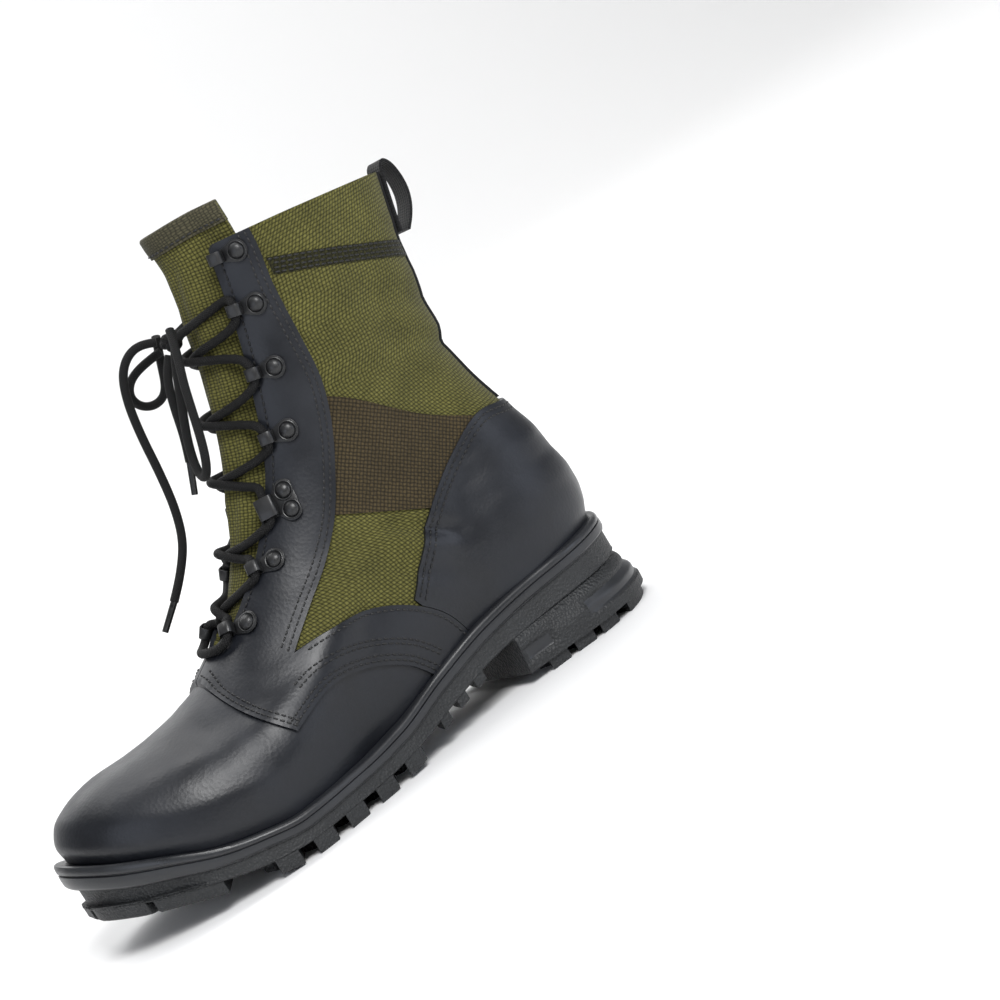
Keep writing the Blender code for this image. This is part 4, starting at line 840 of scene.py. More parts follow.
def weave(name, across, along, hollow_shade, light, other, depth, rough):
    """Woven cloth on its own cloth coordinates, from the spacing of its threads in metres.
    The spacing is drawn about half as coarse again as the real one, so that it shows."""
    made, tree, shader = new_material(name)
    where = cloth_place(tree)
    wander = add_node(tree, "ShaderNodeTexNoise", {"Vector": where, "Scale": 420.0})
    uneven = add_node(
        tree,
        "ShaderNodeVectorMath",
        {0: wander.outputs["Color"], 1: (1.1 * MM, 1.1 * MM, 0.0), 2: where},
        operation="MULTIPLY_ADD",
    )
    parts = add_node(tree, "ShaderNodeSeparateXYZ", {"Vector": uneven.outputs[0]}).outputs
    waves = [
        maths(tree, "SINE", maths(tree, "MULTIPLY", parts[axis], math.pi / pitch))
        for axis, pitch in (("X", across), ("Y", along))
    ]
    crossed = maths(tree, "MULTIPLY", *waves)
    height = maths(tree, "POWER", maths(tree, "ABSOLUTE", crossed), 0.55)
    threads = mixed(tree, maths(tree, "GREATER_THAN", crossed, 0.0), light, other)
    worn = spread(tree, noise(tree, 70.0, 8.0), 0.72, 1.0)
    # Between the threads, where their height falls, the colour darkens to the first colour given:
    # painted shade in the hollows of the weave.
    tint = mixed(tree, height, hollow_shade, threads)
    feed(
        tree,
        shader,
        {
            "Base Color": mixed(tree, 1.0, tint, worn, blend_type="MULTIPLY"),
            "Roughness": rough,
            "Sheen Weight": 0.06,
            "Specular IOR Level": 0.2,
            "Normal": relief(tree, height, 0.7, depth),
        },
    )
    return made


canvas = weave(
    "cotton canvas", 1.7 * MM, 1.6 * MM, "#171806", "#6d6a38", "#625f30", 0.0005, 0.9
)
lining = weave("drill lining", 1.2 * MM, 1.2 * MM, "#15150f", "#2c2d20", "#26271c", 0.0002, 0.9)
upper_shape = skin(0, COLLAR_RING, -1.0, 1.0, 0.0)
for face in upper_shape.faces:
    middle = face.calc_center_median()
    face.material_index = 1 if on_vamp(middle.x, middle.z) else 0
upper = finished(
    "upper_shell", upper_shape, (canvas, leather, lining, lining), ["upper"], 80
)
applied(
    upper,
    "SOLIDIFY",
    thickness=UPPER_WALL,
    offset=-1,
    use_even_offset=False,
    material_offset=2,
)
smoothed(upper.data, 50)


# Rounded corner of the facing
# The facing's top front corner is rounded off, canvas and leather together, before it is sewn.

CORNER_CENTRE = Vector((54, 235)) * MM
CORNER_RADIUS = 15.5 * MM


def block(name, outline, low, high, across=False):
    """A straight block on a side-view outline; across turns the outline to face the back."""
    shape = bmesh.new()
    if across:
        base = [shape.verts.new((low, point.x, point.y)) for point in outline]
        run = Vector((high - low, 0, 0))
    else:
        base = [shape.verts.new((point.x, low, point.y)) for point in outline]
        run = Vector((0, high - low, 0))
    face = shape.faces.new(base)
    raised = bmesh.ops.extrude_face_region(shape, geom=[face])["geom"]
    moved = [part for part in raised if isinstance(part, bmesh.types.BMVert)]
    bmesh.ops.translate(shape, vec=run, verts=moved)
    bmesh.ops.recalc_face_normals(shape, faces=shape.faces)
    return object_of(name, shape)


def trimmed(thing, operation, knife):
    """A piece cut to a block, or by it, at once."""
    applied(thing, "BOOLEAN", operation=operation, solver="EXACT", object=knife)
    mesh = knife.data
    bpy.data.objects.remove(knife, do_unlink=True)
    bpy.data.meshes.remove(mesh)


corner_arc = [
    CORNER_CENTRE + Vector((math.cos(a), math.sin(a))) * CORNER_RADIUS
    for a in [math.pi / 2 * part / 10 for part in range(11)]
]
beyond_corner = [Vector(place) * MM for place in ((54, 270), (90, 270), (90, 235))]
trimmed(
    upper,
    "DIFFERENCE",
    block("corner", corner_arc + beyond_corner, -BALL_WIDTH, BALL_WIDTH),
)


# Facings
# One piece of leather a side: it carries the lace loops, and its wing sweeps down to the sole.
# It is lapped over the canvas and the vamp, and sewn with black thread.

OVERLAY_WALL = 1.5 * MM
LAYER_SINK = 0.3 * MM
EYESTAY_REAR = (
    (0.148, 1.060), (0.152, 0.960), (0.163, 0.880), (0.168, 0.780), (0.177, 0.680),
    (0.207, 0.584), (0.262, 0.476), (0.315, 0.412), (0.375, 0.360), (0.436, 0.308),
)
WING_TOP = (
    (0.436, 0.308), (0.380, 0.308), (0.312, 0.298), (0.252, 0.262), (0.205, 0.205),
    (0.180, 0.130),
)
WING_LOW = ((0.262, 0.110), (0.300, 0.170), (0.360, 0.212), (0.428, 0.226), (0.506, 0.200))
EYESTAY_TOE = ((0.506, 0.200), (0.540, 0.258), (0.555, 0.318), (0.542, 0.372), (0.520, 0.420))


def curve_through(points, steps):
    """Points on a smooth curve through the given ones, steps to a span."""
    found = []
    last = len(points) - 1
    for span in range(last):
        p0 = points[max(span - 1, 0)]
        p1 = points[span]
        p2 = points[span + 1]
        p3 = points[min(span + 2, last)]
        for part in range(steps):
            t = part / steps
            found.append(
                0.5
                * (
                    2 * p1
                    + (p2 - p0) * t
                    + (2 * p0 - 5 * p1 + 4 * p2 - p3) * t**2
                    + (3 * p1 - 3 * p2 + p3 - p0) * t**3
                )
            )
    found.append(points[-1])
    return found


def seam_line(rows):
    """A smooth seam line in metres, as flat points of X and Z."""
    return curve_through([Vector((x * SOLE_LENGTH, z * BOOT_HEIGHT)) for x, z in rows], 8)


def shifted(points, distance):
    """A flat line moved sideways, to the left of its run."""
    moved = []
    for place, point in enumerate(points):
        before = points[max(place - 1, 0)]
        after = points[min(place + 1, len(points) - 1)]
        along = (after - before).normalized()
        moved.append(point + Vector((-along.y, along.x)) * distance)
    return moved


def overlay(name, outline, span, shares, wall, finish, nodes, across=False):
    """A layer sewn on the shell, cut to its outline."""
    sheet = skin(0.8, COLLAR_RING, *shares, -LAYER_SINK)
    layer = finished(name, sheet, (finish,), nodes, 60)
    depth = wall + LAYER_SINK + GAP
    applied(layer, "SOLIDIFY", thickness=depth, offset=1, use_even_offset=False)
    trimmed(layer, "INTERSECT", block(name + "_outline", outline, *span, across))
    smoothed(layer.data, 45)
    return layer


def one_side(side, near, far):
    """A stretch from near to far on the outer side, or the same on the inner side."""
    return (near, far) if side > 0 else (-far, -near)


SIDES = ((1, "lateral"), (-1, "medial"))
facing_rear = seam_line(EYESTAY_REAR)
wing_top = seam_line(WING_TOP)
wing_low = seam_line(WING_LOW)
facing_toe = seam_line(EYESTAY_TOE)
facing_front = [Vector(place) * MM for place in ((229, 105), (229, 225), (76, 228))]
facing_outline = (
    facing_rear
    + wing_top[1:]
    + wing_low
    + facing_toe[1:]
    + facing_front
    + corner_arc
    + [Vector((50, 251.5)) * MM]
)
facings = [
    overlay(
        "facing_" + word,
        facing_outline,
        one_side(side, 0.1 * MM, BALL_WIDTH),
        one_side(side, 0.3, 1.0),
        OVERLAY_WALL,
        leather,
        ["eyestay_" + word],
    )
    for side, word in SIDES
]


# Heel counter
# Stiff leather round the heel, one piece, lapped under the wings and sewn twice along its top.

COUNTER_EDGE = (
    (-0.200, 0.452), (-0.095, 0.460), (-0.020, 0.474), (0.055, 0.438), (0.135, 0.378),
    (0.205, 0.300), (0.238, 0.262),
)
counter_edge = seam_line(COUNTER_EDGE)
under_wing = [point for point in shifted(wing_top, -GAP) if point.x < counter_edge[-1].x]
counter_base = [Vector((under_wing[-1].x, 0)), Vector((counter_edge[0].x, 0))]
overlay(
    "counter_leather",
    counter_edge + under_wing + counter_base,
    (-BALL_WIDTH, BALL_WIDTH),
    (-0.8, 0.8),
    OVERLAY_WALL,
    leather,
    ["heel_counter"],
)


# Ankle webbing
# A band of olive-brown nylon webbing a side, slung from the facing down to the counter: its ribs
# run along the band.

WEBBING_WALL = 1.0 * MM
BAND_SLANT = math.radians(36)
webbing = weave(
    "olive nylon webbing", 1.8 * MM, 1.7 * MM, "#110e07", "#4c412b", "#463c28", 0.0005, 0.85
)
patch_top = seam_line(((0.200, 0.672), (0.150, 0.629), (0.060, 0.531), (-0.030, 0.462)))
patch_low = seam_line(((0.290, 0.484), (0.256, 0.462), (0.200, 0.425), (0.120, 0.372)))
patch_outline = patch_top + patch_low[::-1]
for side, word in SIDES:
    band = overlay(
        "webbing_" + word,
        patch_outline,
        one_side(side, 1 * MM, BALL_WIDTH),
        one_side(side, 0.1, 0.9),
        WEBBING_WALL - 0.3 * MM,
        webbing,
        ["web_patch_" + word],
    )
    turned = band.data.uv_layers["cloth"].data
    for corner in band.data.loops:
        spot = band.data.vertices[corner.vertex_index].co
        turned[corner.index].uv = (
            spot.x * math.cos(BAND_SLANT) + spot.z * math.sin(BAND_SLANT),
            spot.z * math.cos(BAND_SLANT) - spot.x * math.sin(BAND_SLANT),
        )


# Collar seam
# The canvas is joined again under the collar: a felled seam, a darker band with four rows.

seam_canvas = weave(
    "felled canvas", 1.7 * MM, 1.7 * MM, "#0e0f05", "#37361b", "#2c2b15", 0.0003, 0.85
)
collar_seam = curve_through(
    [Vector(place) * MM for place in ((60, 229), (47, 223), (19, 212), (-7, 202), (-40, 191))], 8
)
band_low, band_top = [
    [point for point in line if point.x < 48 * MM]
    for line in (collar_seam, shifted(collar_seam, -8 * MM))
]
for side, word in SIDES:
    overlay(
        "collar_seam_" + word,
        band_low + band_top[::-1],
        one_side(side, 0.05 * MM, BALL_WIDTH),
        one_side(side, 0.0, 0.8),
        0.25 * MM,
        seam_canvas,
        [],
    )


# Back tape and pull loop
# Black cotton webbing over the back seam, and a folded strap of it that stands behind the
# collar, sewn down at its foot.

TAPE_WIDTH = 19 * MM
LOOP_WIDTH = 17 * MM
LOOP_WALL = 1.4 * MM
LOOP_BULGE = 8.0 * MM
LOOP_FOOT_RING = 18.7
black_webbing = weave(
    "black cotton webbing", 2.4 * MM, 1.3 * MM, "#040404", "#1d1d1f", "#151517", 0.0003, 0.7
)
tape_low = COUNTER_EDGE[1][1] * BOOT_HEIGHT + 2 * MM
tape_outline = [
    Vector((side * TAPE_WIDTH / 2, height))
    for side, height in ((-1, tape_low), (1, tape_low), (1, BOOT_HEIGHT), (-1, BOOT_HEIGHT))
]
overlay(
    "back_seam_tape",
    tape_outline,
    (-BALL_WIDTH, 0),
    (-0.3, 0.3),
    WEBBING_WALL,
    black_webbing,
    ["back_tape"],
    across=True,
)

inner = GAP + WEBBING_WALL + GAP + LOOP_WALL / 2
loop_rings = [
    LOOP_FOOT_RING + (COLLAR_RING + 0.1 - LOOP_FOOT_RING) * part / 5 for part in range(6)
]
near_run, far_run = [], []
for place, ring in enumerate(loop_rings):
    normal = ring_normal(ring, 0.0)
    swell = math.sin(math.pi * (place + 0.6) / 6.6)
    near_run.append(ring_point(ring, 0.0) + normal * inner)
    out = inner + LOOP_WALL * 1.3 + LOOP_BULGE * swell
    far_run.append(ring_point(ring, 0.0) + normal * out)
crown = (near_run[-1] + far_run[-1]) / 2
crown.z += (far_run[-1] - near_run[-1]).length / 2
strap_line = curve_through(near_run + [crown] + far_run[::-1], 6)
strap_shape = bmesh.new()
cloth = strap_shape.loops.layers.uv.new("cloth")
STRAP_PROFILE = [
    (math.copysign(0.5 - 0.03 * abs(out), side) * LOOP_WIDTH, out * LOOP_WALL / 2)
    for side, out in ((1, 0.6), (1, 1), (-1, 1), (-1, 0.6), (-1, -0.6), (-1, -1), (1, -1), (1, -0.6))
]
strap_rows, strap_run = [], [0.0]
for place, point in enumerate(strap_line):
    after = strap_line[min(place + 1, len(strap_line) - 1)]
    before = strap_line[max(place - 1, 0)]
    along = (after - before).normalized()
    out = Vector((along.z, 0, -along.x))
    strap_rows.append(
        [strap_shape.verts.new(point + out * o + Vector((0, s, 0))) for s, o in STRAP_PROFILE]
    )
    if place:
        strap_run.append(strap_run[-1] + (point - strap_line[place - 1]).length)
for place in range(len(strap_rows) - 1):
    for face in strip_faces(strap_shape, strap_rows[place], strap_rows[place + 1], True):
        for loop in face.loops:
            low = loop.vert in strap_rows[place]
            loop[cloth].uv = (loop.vert.co.y, strap_run[place if low else place + 1])
strap_shape.faces.new(strap_rows[0])
strap_shape.faces.new(strap_rows[-1])
bmesh.ops.recalc_face_normals(strap_shape, faces=strap_shape.faces)
finished("pull_strap", strap_shape, (black_webbing,), ["pull_loop"], 50)


# Tongue
# Padded canvas under the lacing: it bulges between the facings and has lengthwise folds where
# the laces gather it. Its top is bound with grey-olive cloth.

TONGUE_WALL = 2.6 * MM
TONGUE_TUCK = 9.0 * MM
TONGUE_CLEARANCE = 1.0 * MM
TONGUE_BULGE = 8.5 * MM
TONGUE_COLUMNS = 48
TONGUE_TOP = COLLAR_RING + 0.9
# Each fold: its place across in mm, its wander, its depth and width in mm
TONGUE_FOLDS = ((-10, 2.0, 1.5, 2.2), (-3, 2.5, 1.0, 2.0), (5, 2.0, 1.6, 2.4), (13, 1.5, 1.1, 2.0))


def tongue_lift(ring, across):
    """How far the tongue's outside lies over the upper's."""
    tucked = -(UPPER_WALL + TONGUE_CLEARANCE)
    gap = ring_value("gap", ring) * BALL_WIDTH - 1.5 * MM
    if ring <= THROAT_RING + 1 or abs(across) >= gap:
        return tucked
    fill = min((ring - THROAT_RING - 1) / 3.5, 1.0)
    swell = math.cos(math.pi / 2 * across / gap) ** 1.3
    depth = 0.0
    for place, (middle, wander, deep, wide) in enumerate(TONGUE_FOLDS):
        line = middle + wander * math.sin(ring * 1.1 + place * 1.7)
        depth += deep * math.exp(-(((across / MM - line) / wide) ** 2))
    fade = fill * swell * (1 - step(COLLAR_RING - 0.4, COLLAR_RING + 0.3, ring))
    return tucked + (TONGUE_BULGE - tucked) * fill * swell - depth * MM * fade


def tongue_point(ring, across, lift=0.0):
    """A point of the tongue's outside, across in metres from its middle line."""
    angle = math.pi - math.asin(across / ring_fullness(ring, 1.0))
    normal = ring_normal(ring, angle)
    return ring_point(ring, angle) + normal * (tongue_lift(ring, across) + lift)


def tongue_half(ring):
    """Half the tongue's width, tucked behind the facings."""
    return ring_value("gap", max(ring, THROAT_RING + 1)) * BALL_WIDTH + TONGUE_TUCK


tongue_shape = bmesh.new()
cloth = tongue_shape.loops.layers.uv.new("cloth")
tongue_start = THROAT_RING - 0.9
tongue_levels = round((TONGUE_TOP - tongue_start) / 0.15)
tongue_rows, tongue_climb, tongue_cloth = [], [0.0], {}
for level in range(tongue_levels + 1):
    ring = tongue_start + (TONGUE_TOP - tongue_start) * level / tongue_levels
    half = tongue_half(ring)
    spots = [half * (2 * part / TONGUE_COLUMNS - 1) for part in range(TONGUE_COLUMNS + 1)]
    tongue_rows.append([tongue_shape.verts.new(tongue_point(ring, spot)) for spot in spots])
    if level:
        middle = TONGUE_COLUMNS // 2
        climb = (tongue_rows[-1][middle].co - tongue_rows[-2][middle].co).length
        tongue_climb.append(tongue_climb[-1] + climb)
    for spot, vertex in zip(spots, tongue_rows[-1]):
        tongue_cloth[vertex] = (spot * 1.3, tongue_climb[-1] * 1.15)
for level in range(tongue_levels):
    for face in strip_faces(tongue_shape, tongue_rows[level], tongue_rows[level + 1], False):
        for loop in face.loops:
            loop[cloth].uv = tongue_cloth[loop.vert]
bmesh.ops.recalc_face_normals(tongue_shape, faces=tongue_shape.faces)
if sum(face.normal.x for face in tongue_shape.faces) < 0:
    bmesh.ops.reverse_faces(tongue_shape, faces=tongue_shape.faces)
tongue = finished("tongue_canvas", tongue_shape, (canvas, lining), ["tongue"], 70)
applied(
    tongue,
    "SOLIDIFY",
    thickness=TONGUE_WALL,
    offset=-1,
    use_even_offset=False,
    material_offset=1,
)
smoothed(tongue.data, 60)

BINDING_RINGS = 0.5
BINDING_WALL = 0.9 * MM
binding_cloth = weave(
    "cotton binding", 1.2 * MM, 1.2 * MM, "#24231a", "#56523f", "#4b4837", 0.0002, 0.85
)


def tongue_off(ring, across, lift):
    """A point off the tongue along its own surface's normal."""
    nudge = 0.5 * MM
    half = tongue_half(ring) - 2 * nudge
    side = min(max(across, -half), half)
    beside = tongue_point(ring, side + nudge) - tongue_point(ring, side - nudge)
    rising = tongue_point(ring + 0.05, across) - tongue_point(ring - 0.05, across)
    normal = rising.cross(beside).normalized()
    if normal.x < 0:
        normal = -normal
    return tongue_point(ring, across) + normal * lift


binding_low = TONGUE_TOP - BINDING_RINGS
back_lift = -TONGUE_WALL - GAP
front_lift = GAP + BINDING_WALL
BINDING_PROFILE = (
    (binding_low, GAP, 0.0),
    (TONGUE_TOP, GAP, GAP),
    (TONGUE_TOP, back_lift, GAP),
    (binding_low, back_lift, 0.0),
    (binding_low, back_lift - BINDING_WALL, 0.0),
    (TONGUE_TOP, back_lift - BINDING_WALL, 0.0),
    (TONGUE_TOP, back_lift - 0.6 * BINDING_WALL, 0.8 * MM),
    (TONGUE_TOP, back_lift * 0.5, GAP + BINDING_WALL),
    (TONGUE_TOP, 0.0, GAP + BINDING_WALL),
    (TONGUE_TOP, 0.6 * front_lift, 0.8 * MM),
    (TONGUE_TOP, front_lift, 0.0),
    ((TONGUE_TOP + binding_low) / 2, front_lift + 0.2 * MM, 0.0),
    (binding_low, front_lift, 0.0),
)
binding_shape = bmesh.new()
cloth = binding_shape.loops.layers.uv.new("cloth")
half = tongue_half(TONGUE_TOP)
binding_rows = []
for part in range(TONGUE_COLUMNS + 1):
    spot = half * (2 * part / TONGUE_COLUMNS - 1)
    binding_rows.append(
        [
            binding_shape.verts.new(tongue_off(ring, spot, lift) + Vector((0, 0, rise)))
            for ring, lift, rise in BINDING_PROFILE
        ]
    )
for first, second in zip(binding_rows, binding_rows[1:]):
    for face in strip_faces(binding_shape, first, second, True):
        for loop in face.loops:
            loop[cloth].uv = (loop.vert.co.y, loop.vert.co.z)
binding_shape.faces.new(binding_rows[0])
binding_shape.faces.new(binding_rows[-1])
bmesh.ops.recalc_face_normals(binding_shape, faces=binding_shape.faces)
finished("tongue_edge", binding_shape, (binding_cloth,), ["tongue_binding"], 50)


# Insole
# A felt sole inside the boot, on the rubber's bed.

insole_felt, tree, shader = new_material("grey felt")
fibres = noise(tree, 900.0, 6.0)
feed(
    tree,
    shader,
    {
        "Base Color": mixed(tree, fibres, "#17171a", "#34343a"),
        "Roughness": 0.95,
        "Normal": relief(tree, fibres, 0.6, 0.4 * MM),
    },
)
bpy.data.objects["insole"].material_slots[0].material = insole_felt


# Lace loops and ankle clamps
# Pressed steel, lacquered black: a plate on a domed rivet, its front end rolled into a tunnel
# for the lace. The clamps stand on two rivets and have a square tunnel.

RIVET_SETBACK = 13.0 * MM
RIVET_HEAD = 7.6 * MM
RIVET_RISE = 2.4 * MM
PLATE_WALL = 0.9 * MM
PLATE_WIDTH = 10.5 * MM
TUNNEL_WIDTH = 5.6 * MM
TUNNEL_LENGTH = 7.0 * MM
TUNNEL_WALL = 0.8 * MM
TUNNEL_REACH = 9.8 * MM
CLAMP_LENGTH = 9.0 * MM
CLAMP_WIDTH = 10.0 * MM
LACE_DIAMETER = 4.2 * MM
LACE_ROWS = (9.75, 11.45, 13.0, 14.8, 16.4, 17.95, 19.5)
CLAMP_ROW = 2
LACED_ROWS = 6

lacquer, tree, shader = new_material("lacquered steel")
rubbed = noise(tree, 260.0, 4.0)
feed(
    tree,
    shader,
    {
        "Base Color": mixed(tree, rubbed, "#050506", "#141517"),
        "Roughness": spread(tree, rubbed, 0.38, 0.55),
        "Coat Weight": 0.15,
    },
)


def facet_point(ring, angle):
    """A point of the plain upper's outside, straight between two rings."""
    low = math.floor(ring)
    part = ring - low
    return ring_point(low, angle) * (1 - part) + ring_point(low + 1, angle) * part


def angle_from_edge(ring, distance, side):
    """The angle at a distance round the upper from the throat's edge."""
    angle = math.pi - gap_angle(ring)
    covered = 0.0
    while covered < distance:
        here = facet_point(ring, side * angle)
        angle -= 0.01
        covered += (facet_point(ring, side * angle) - here).length
    return side * angle


def surface_of(things):
    """The faces of several pieces as one tree."""
    shape = bmesh.new()
    for thing in things:
        shape.from_mesh(thing.data)
    tree_of_faces = BVHTree.FromBMesh(shape)
    shape.free()
    return tree_of_faces


facing_surface = surface_of(facings)


@functools.lru_cache(None)
def loop_frame(row, side):
    """Where a lace loop sits on the leather: X to the throat's edge, Z outwards."""
    ring = LACE_ROWS[row]
    rivet_angle = angle_from_edge(ring, RIVET_SETBACK, side)
    front_angle = angle_from_edge(ring, RIVET_SETBACK - TUNNEL_REACH, side)
    origin = facet_point(ring, rivet_angle)
    ahead = (facet_point(ring, front_angle) - origin).normalized()
    rising = facet_point(ring + 0.25, rivet_angle) - facet_point(ring - 0.25, rivet_angle)
    outward = (rising.cross(ahead) * side).normalized()
    along = outward.cross(ahead)
    rise = 0.0
    for across in (-4, -2, 0, 2, 4, 6, 8):
        for aside in (-4, 0, 4):
            start = origin + ahead * across * MM + along * aside * MM + outward * 12 * MM
            hit = facing_surface.ray_cast(start, -outward, 20 * MM)[0]
            if hit is not None:
                rise = max(rise, (hit - origin).dot(outward))
    made = Matrix((ahead, along, outward)).transposed().to_4x4()
    made.translation = origin + outward * (rise + 0.1 * MM)
    return made


def added_plate(outline):
    """A flat plate on a closed outline, with softened edges."""
    shape = bmesh.new()
    shape.faces.new([shape.verts.new((point.x, point.y, 0)) for point in outline])
    made = object_of("plate", shape)
    applied(made, "SOLIDIFY", thickness=PLATE_WALL, offset=1)
    applied(made, "BEVEL", width=0.25 * MM, segments=2, limit_method="ANGLE")
    return made


def added_rivet(aside):
    """A domed rivet head in its washer."""
    bpy.ops.mesh.primitive_uv_sphere_add(
        segments=24, ring_count=10, radius=RIVET_HEAD / 2, location=(0, aside, PLATE_WALL)
    )
    head = bpy.context.object
    bpy.ops.object.mode_set(mode="EDIT")
    bpy.ops.mesh.select_all(action="SELECT")
    bpy.ops.transform.resize(
        value=(1, 1, RIVET_RISE / (RIVET_HEAD / 2)), center_override=(0, aside, PLATE_WALL)
    )
    bpy.ops.object.mode_set(mode="OBJECT")
    bpy.ops.object.select_all(action="DESELECT")
    bpy.ops.mesh.primitive_torus_add(
        major_radius=RIVET_HEAD / 2 + 0.45 * MM,
        minor_radius=0.5 * MM,
        major_segments=28,
        minor_segments=8,
        location=(0, aside, PLATE_WALL),
    )
    washer = bpy.context.object
    bpy.ops.object.select_all(action="DESELECT")
    return [head, washer]


def added_tunnel(length, width, squareness):
    """The plate's rolled end: a flat tube, open along the throat's edge."""
    height = LACE_DIAMETER + 2 * TUNNEL_WALL + 0.4 * MM
    bpy.ops.mesh.primitive_cylinder_add(
        vertices=32, radius=height / 2, depth=width, end_fill_type="NOTHING"
    )
    made = bpy.context.object
    for vertex in made.data.vertices:
        turn = math.atan2(vertex.co.y, vertex.co.x)
        run = math.copysign(abs(math.cos(turn)) ** squareness, math.cos(turn)) * length / 2
        rise = math.copysign(abs(math.sin(turn)) ** squareness, math.sin(turn)) * height / 2
        vertex.co = Vector((TUNNEL_REACH + run, vertex.co.z, height / 2 + rise))
    shape = bmesh.new()
    shape.from_mesh(made.data)
    bmesh.ops.recalc_face_normals(shape, faces=shape.faces)
    top = max(shape.faces, key=lambda face: face.calc_center_median().z)
    if top.normal.z < 0:
        bmesh.ops.reverse_faces(shape, faces=shape.faces)
    shape.to_mesh(made.data)
    shape.free()
    applied(made, "SOLIDIFY", thickness=TUNNEL_WALL, offset=-1)
    applied(made, "BEVEL", width=0.2 * MM, segments=2, limit_method="ANGLE")
    bpy.ops.object.select_all(action="DESELECT")
    return made


def joined(parts):
    """Several parts made one mesh."""
    shape = bmesh.new()
    for part in parts:
        copy = part.data.copy()
        copy.transform(part.matrix_basis)
        shape.from_mesh(copy)
        bpy.data.meshes.remove(copy)
        bpy.data.objects.remove(part, do_unlink=True)
    mesh = bpy.data.meshes.new("pressed_steel")
    shape.to_mesh(mesh)
    shape.free()
    mesh.materials.clear()
    mesh.materials.append(lacquer)
    return mesh


wide, narrow = PLATE_WIDTH / 2, TUNNEL_WIDTH / 2 - 0.1 * MM
drop_arc = [math.radians(62 + 236 * part / 24) for part in range(25)]
drop = [Vector((math.cos(a), math.sin(a))) * wide for a in drop_arc]
plate_reach = TUNNEL_REACH - TUNNEL_LENGTH / 2 + 2 * TUNNEL_WALL
drop += [Vector((plate_reach, -narrow)), Vector((plate_reach, narrow))]
loop_steel = joined(
    [added_plate(drop), added_tunnel(TUNNEL_LENGTH, TUNNEL_WIDTH, 0.6), *added_rivet(0.0)]
)
rivet_apart = RIVET_HEAD / 2 + 0.9 * MM
saddle = []
for way in (1, -1):
    arc = [math.radians(30 + 120 * part / 8) for part in range(9)]
    saddle += [
        Vector((way * math.cos(a), way * math.sin(a))) * wide + Vector((0, way * rivet_apart))
        for a in arc
    ]
clamp_reach = TUNNEL_REACH - CLAMP_LENGTH / 2 + 2 * TUNNEL_WALL
saddle += [
    Vector((clamp_reach, -CLAMP_WIDTH / 2 + 0.3 * MM)),
    Vector((clamp_reach, CLAMP_WIDTH / 2 - 0.3 * MM)),
]
clamp_steel = joined(
    [
        added_plate(saddle),
        added_tunnel(CLAMP_LENGTH, CLAMP_WIDTH, 0.3),
        *added_rivet(rivet_apart),
        *added_rivet(-rivet_apart),
    ]
)
for side, word in SIDES:
    for row in range(len(LACE_ROWS)):
        kind = "clamp" if row == CLAMP_ROW else "loop"
        steel = (clamp_steel if row == CLAMP_ROW else loop_steel).copy()
        steel.transform(loop_frame(row, side))
        smoothed(steel, 40)
        name = "%s_%s_%d" % (kind, word, row + 1)
        mounted(linked("steel_" + name, steel), ["lace_" + name])


# Lace
# One round braided polyester lace, 4.2 mm: straight across at the bottom, crossed over the
# tongue through the tunnels, and tied at the top in a bow with tipped ends.

LACE_CLEARANCE = 0.35 * MM
MOUTH_RINGS = (0.3, 0.55)
CROSSING_SHARES = (0.12, 0.24, 0.36, 0.44, 0.5, 0.56, 0.64, 0.76, 0.88)
KNOT_CENTRE = Vector((93.0, 0.0, 221.0)) * MM
KNOT_HALF = (2.9, 4.9, 3.4)

BRAID_PITCH = 2.2 * MM
BRAID_STRANDS = 4
braid, tree, shader = new_material("braided polyester lace")
parts = add_node(tree, "ShaderNodeSeparateXYZ", {"Vector": cloth_place(tree)}).outputs
turned = maths(tree, "MULTIPLY", parts["X"], BRAID_STRANDS * math.tau)
gone = maths(tree, "MULTIPLY", parts["Y"], math.tau / BRAID_PITCH)
strands = [maths(tree, "SINE", maths(tree, way, turned, gone)) for way in ("ADD", "SUBTRACT")]
raised = maths(tree, "ABSOLUTE", maths(tree, "MULTIPLY", *strands))
feed(
    tree,
    shader,
    {
        # The colour darkens in the grooves between the strands, where the braid's height falls:
        # painted shade.
        "Base Color": mixed(tree, raised, "#020202", "#121213"),
        "Roughness": 0.7,
        "Specular IOR Level": 0.3,
        "Normal": relief(tree, raised, 0.8, 0.4 * MM),
    },
)

lace_bed = surface_of([upper, tongue, *facings])


def cleared(point, outward):
    """A point of the lace's middle, moved out until the lace clears what it lies on."""
    point = point.copy()
    for _ in range(80):
        if lace_bed.find_nearest(point)[3] >= LACE_DIAMETER / 2 + LACE_CLEARANCE:
            break
        point += outward * 0.2 * MM
    return point


def laid_on(ring, across):
    """The lace's middle where it lies on the tongue or the facing, and the way out."""
    angle = math.pi - math.asin(across / ring_fullness(ring, 1.0))
    outward = ring_normal(ring, angle)
    above = facet_point(ring, angle) + outward * 40 * MM
    return cleared(lace_bed.ray_cast(above, -outward)[0], outward), outward


def through_tunnel(row, side):
    """The lace through a tunnel, from its lower mouth to its upper one."""
    seat = loop_frame(row, side)
    reach = (CLAMP_WIDTH if row == CLAMP_ROW else TUNNEL_WIDTH) / 2
    height = TUNNEL_WALL + LACE_DIAMETER / 2 + 0.2 * MM
    run = (reach + 1.5 * MM, reach * 0.5, 0.0, -reach * 0.5, -reach - 1.5 * MM)
    return [seat @ Vector((TUNNEL_REACH, side * place, height)) for place in run]


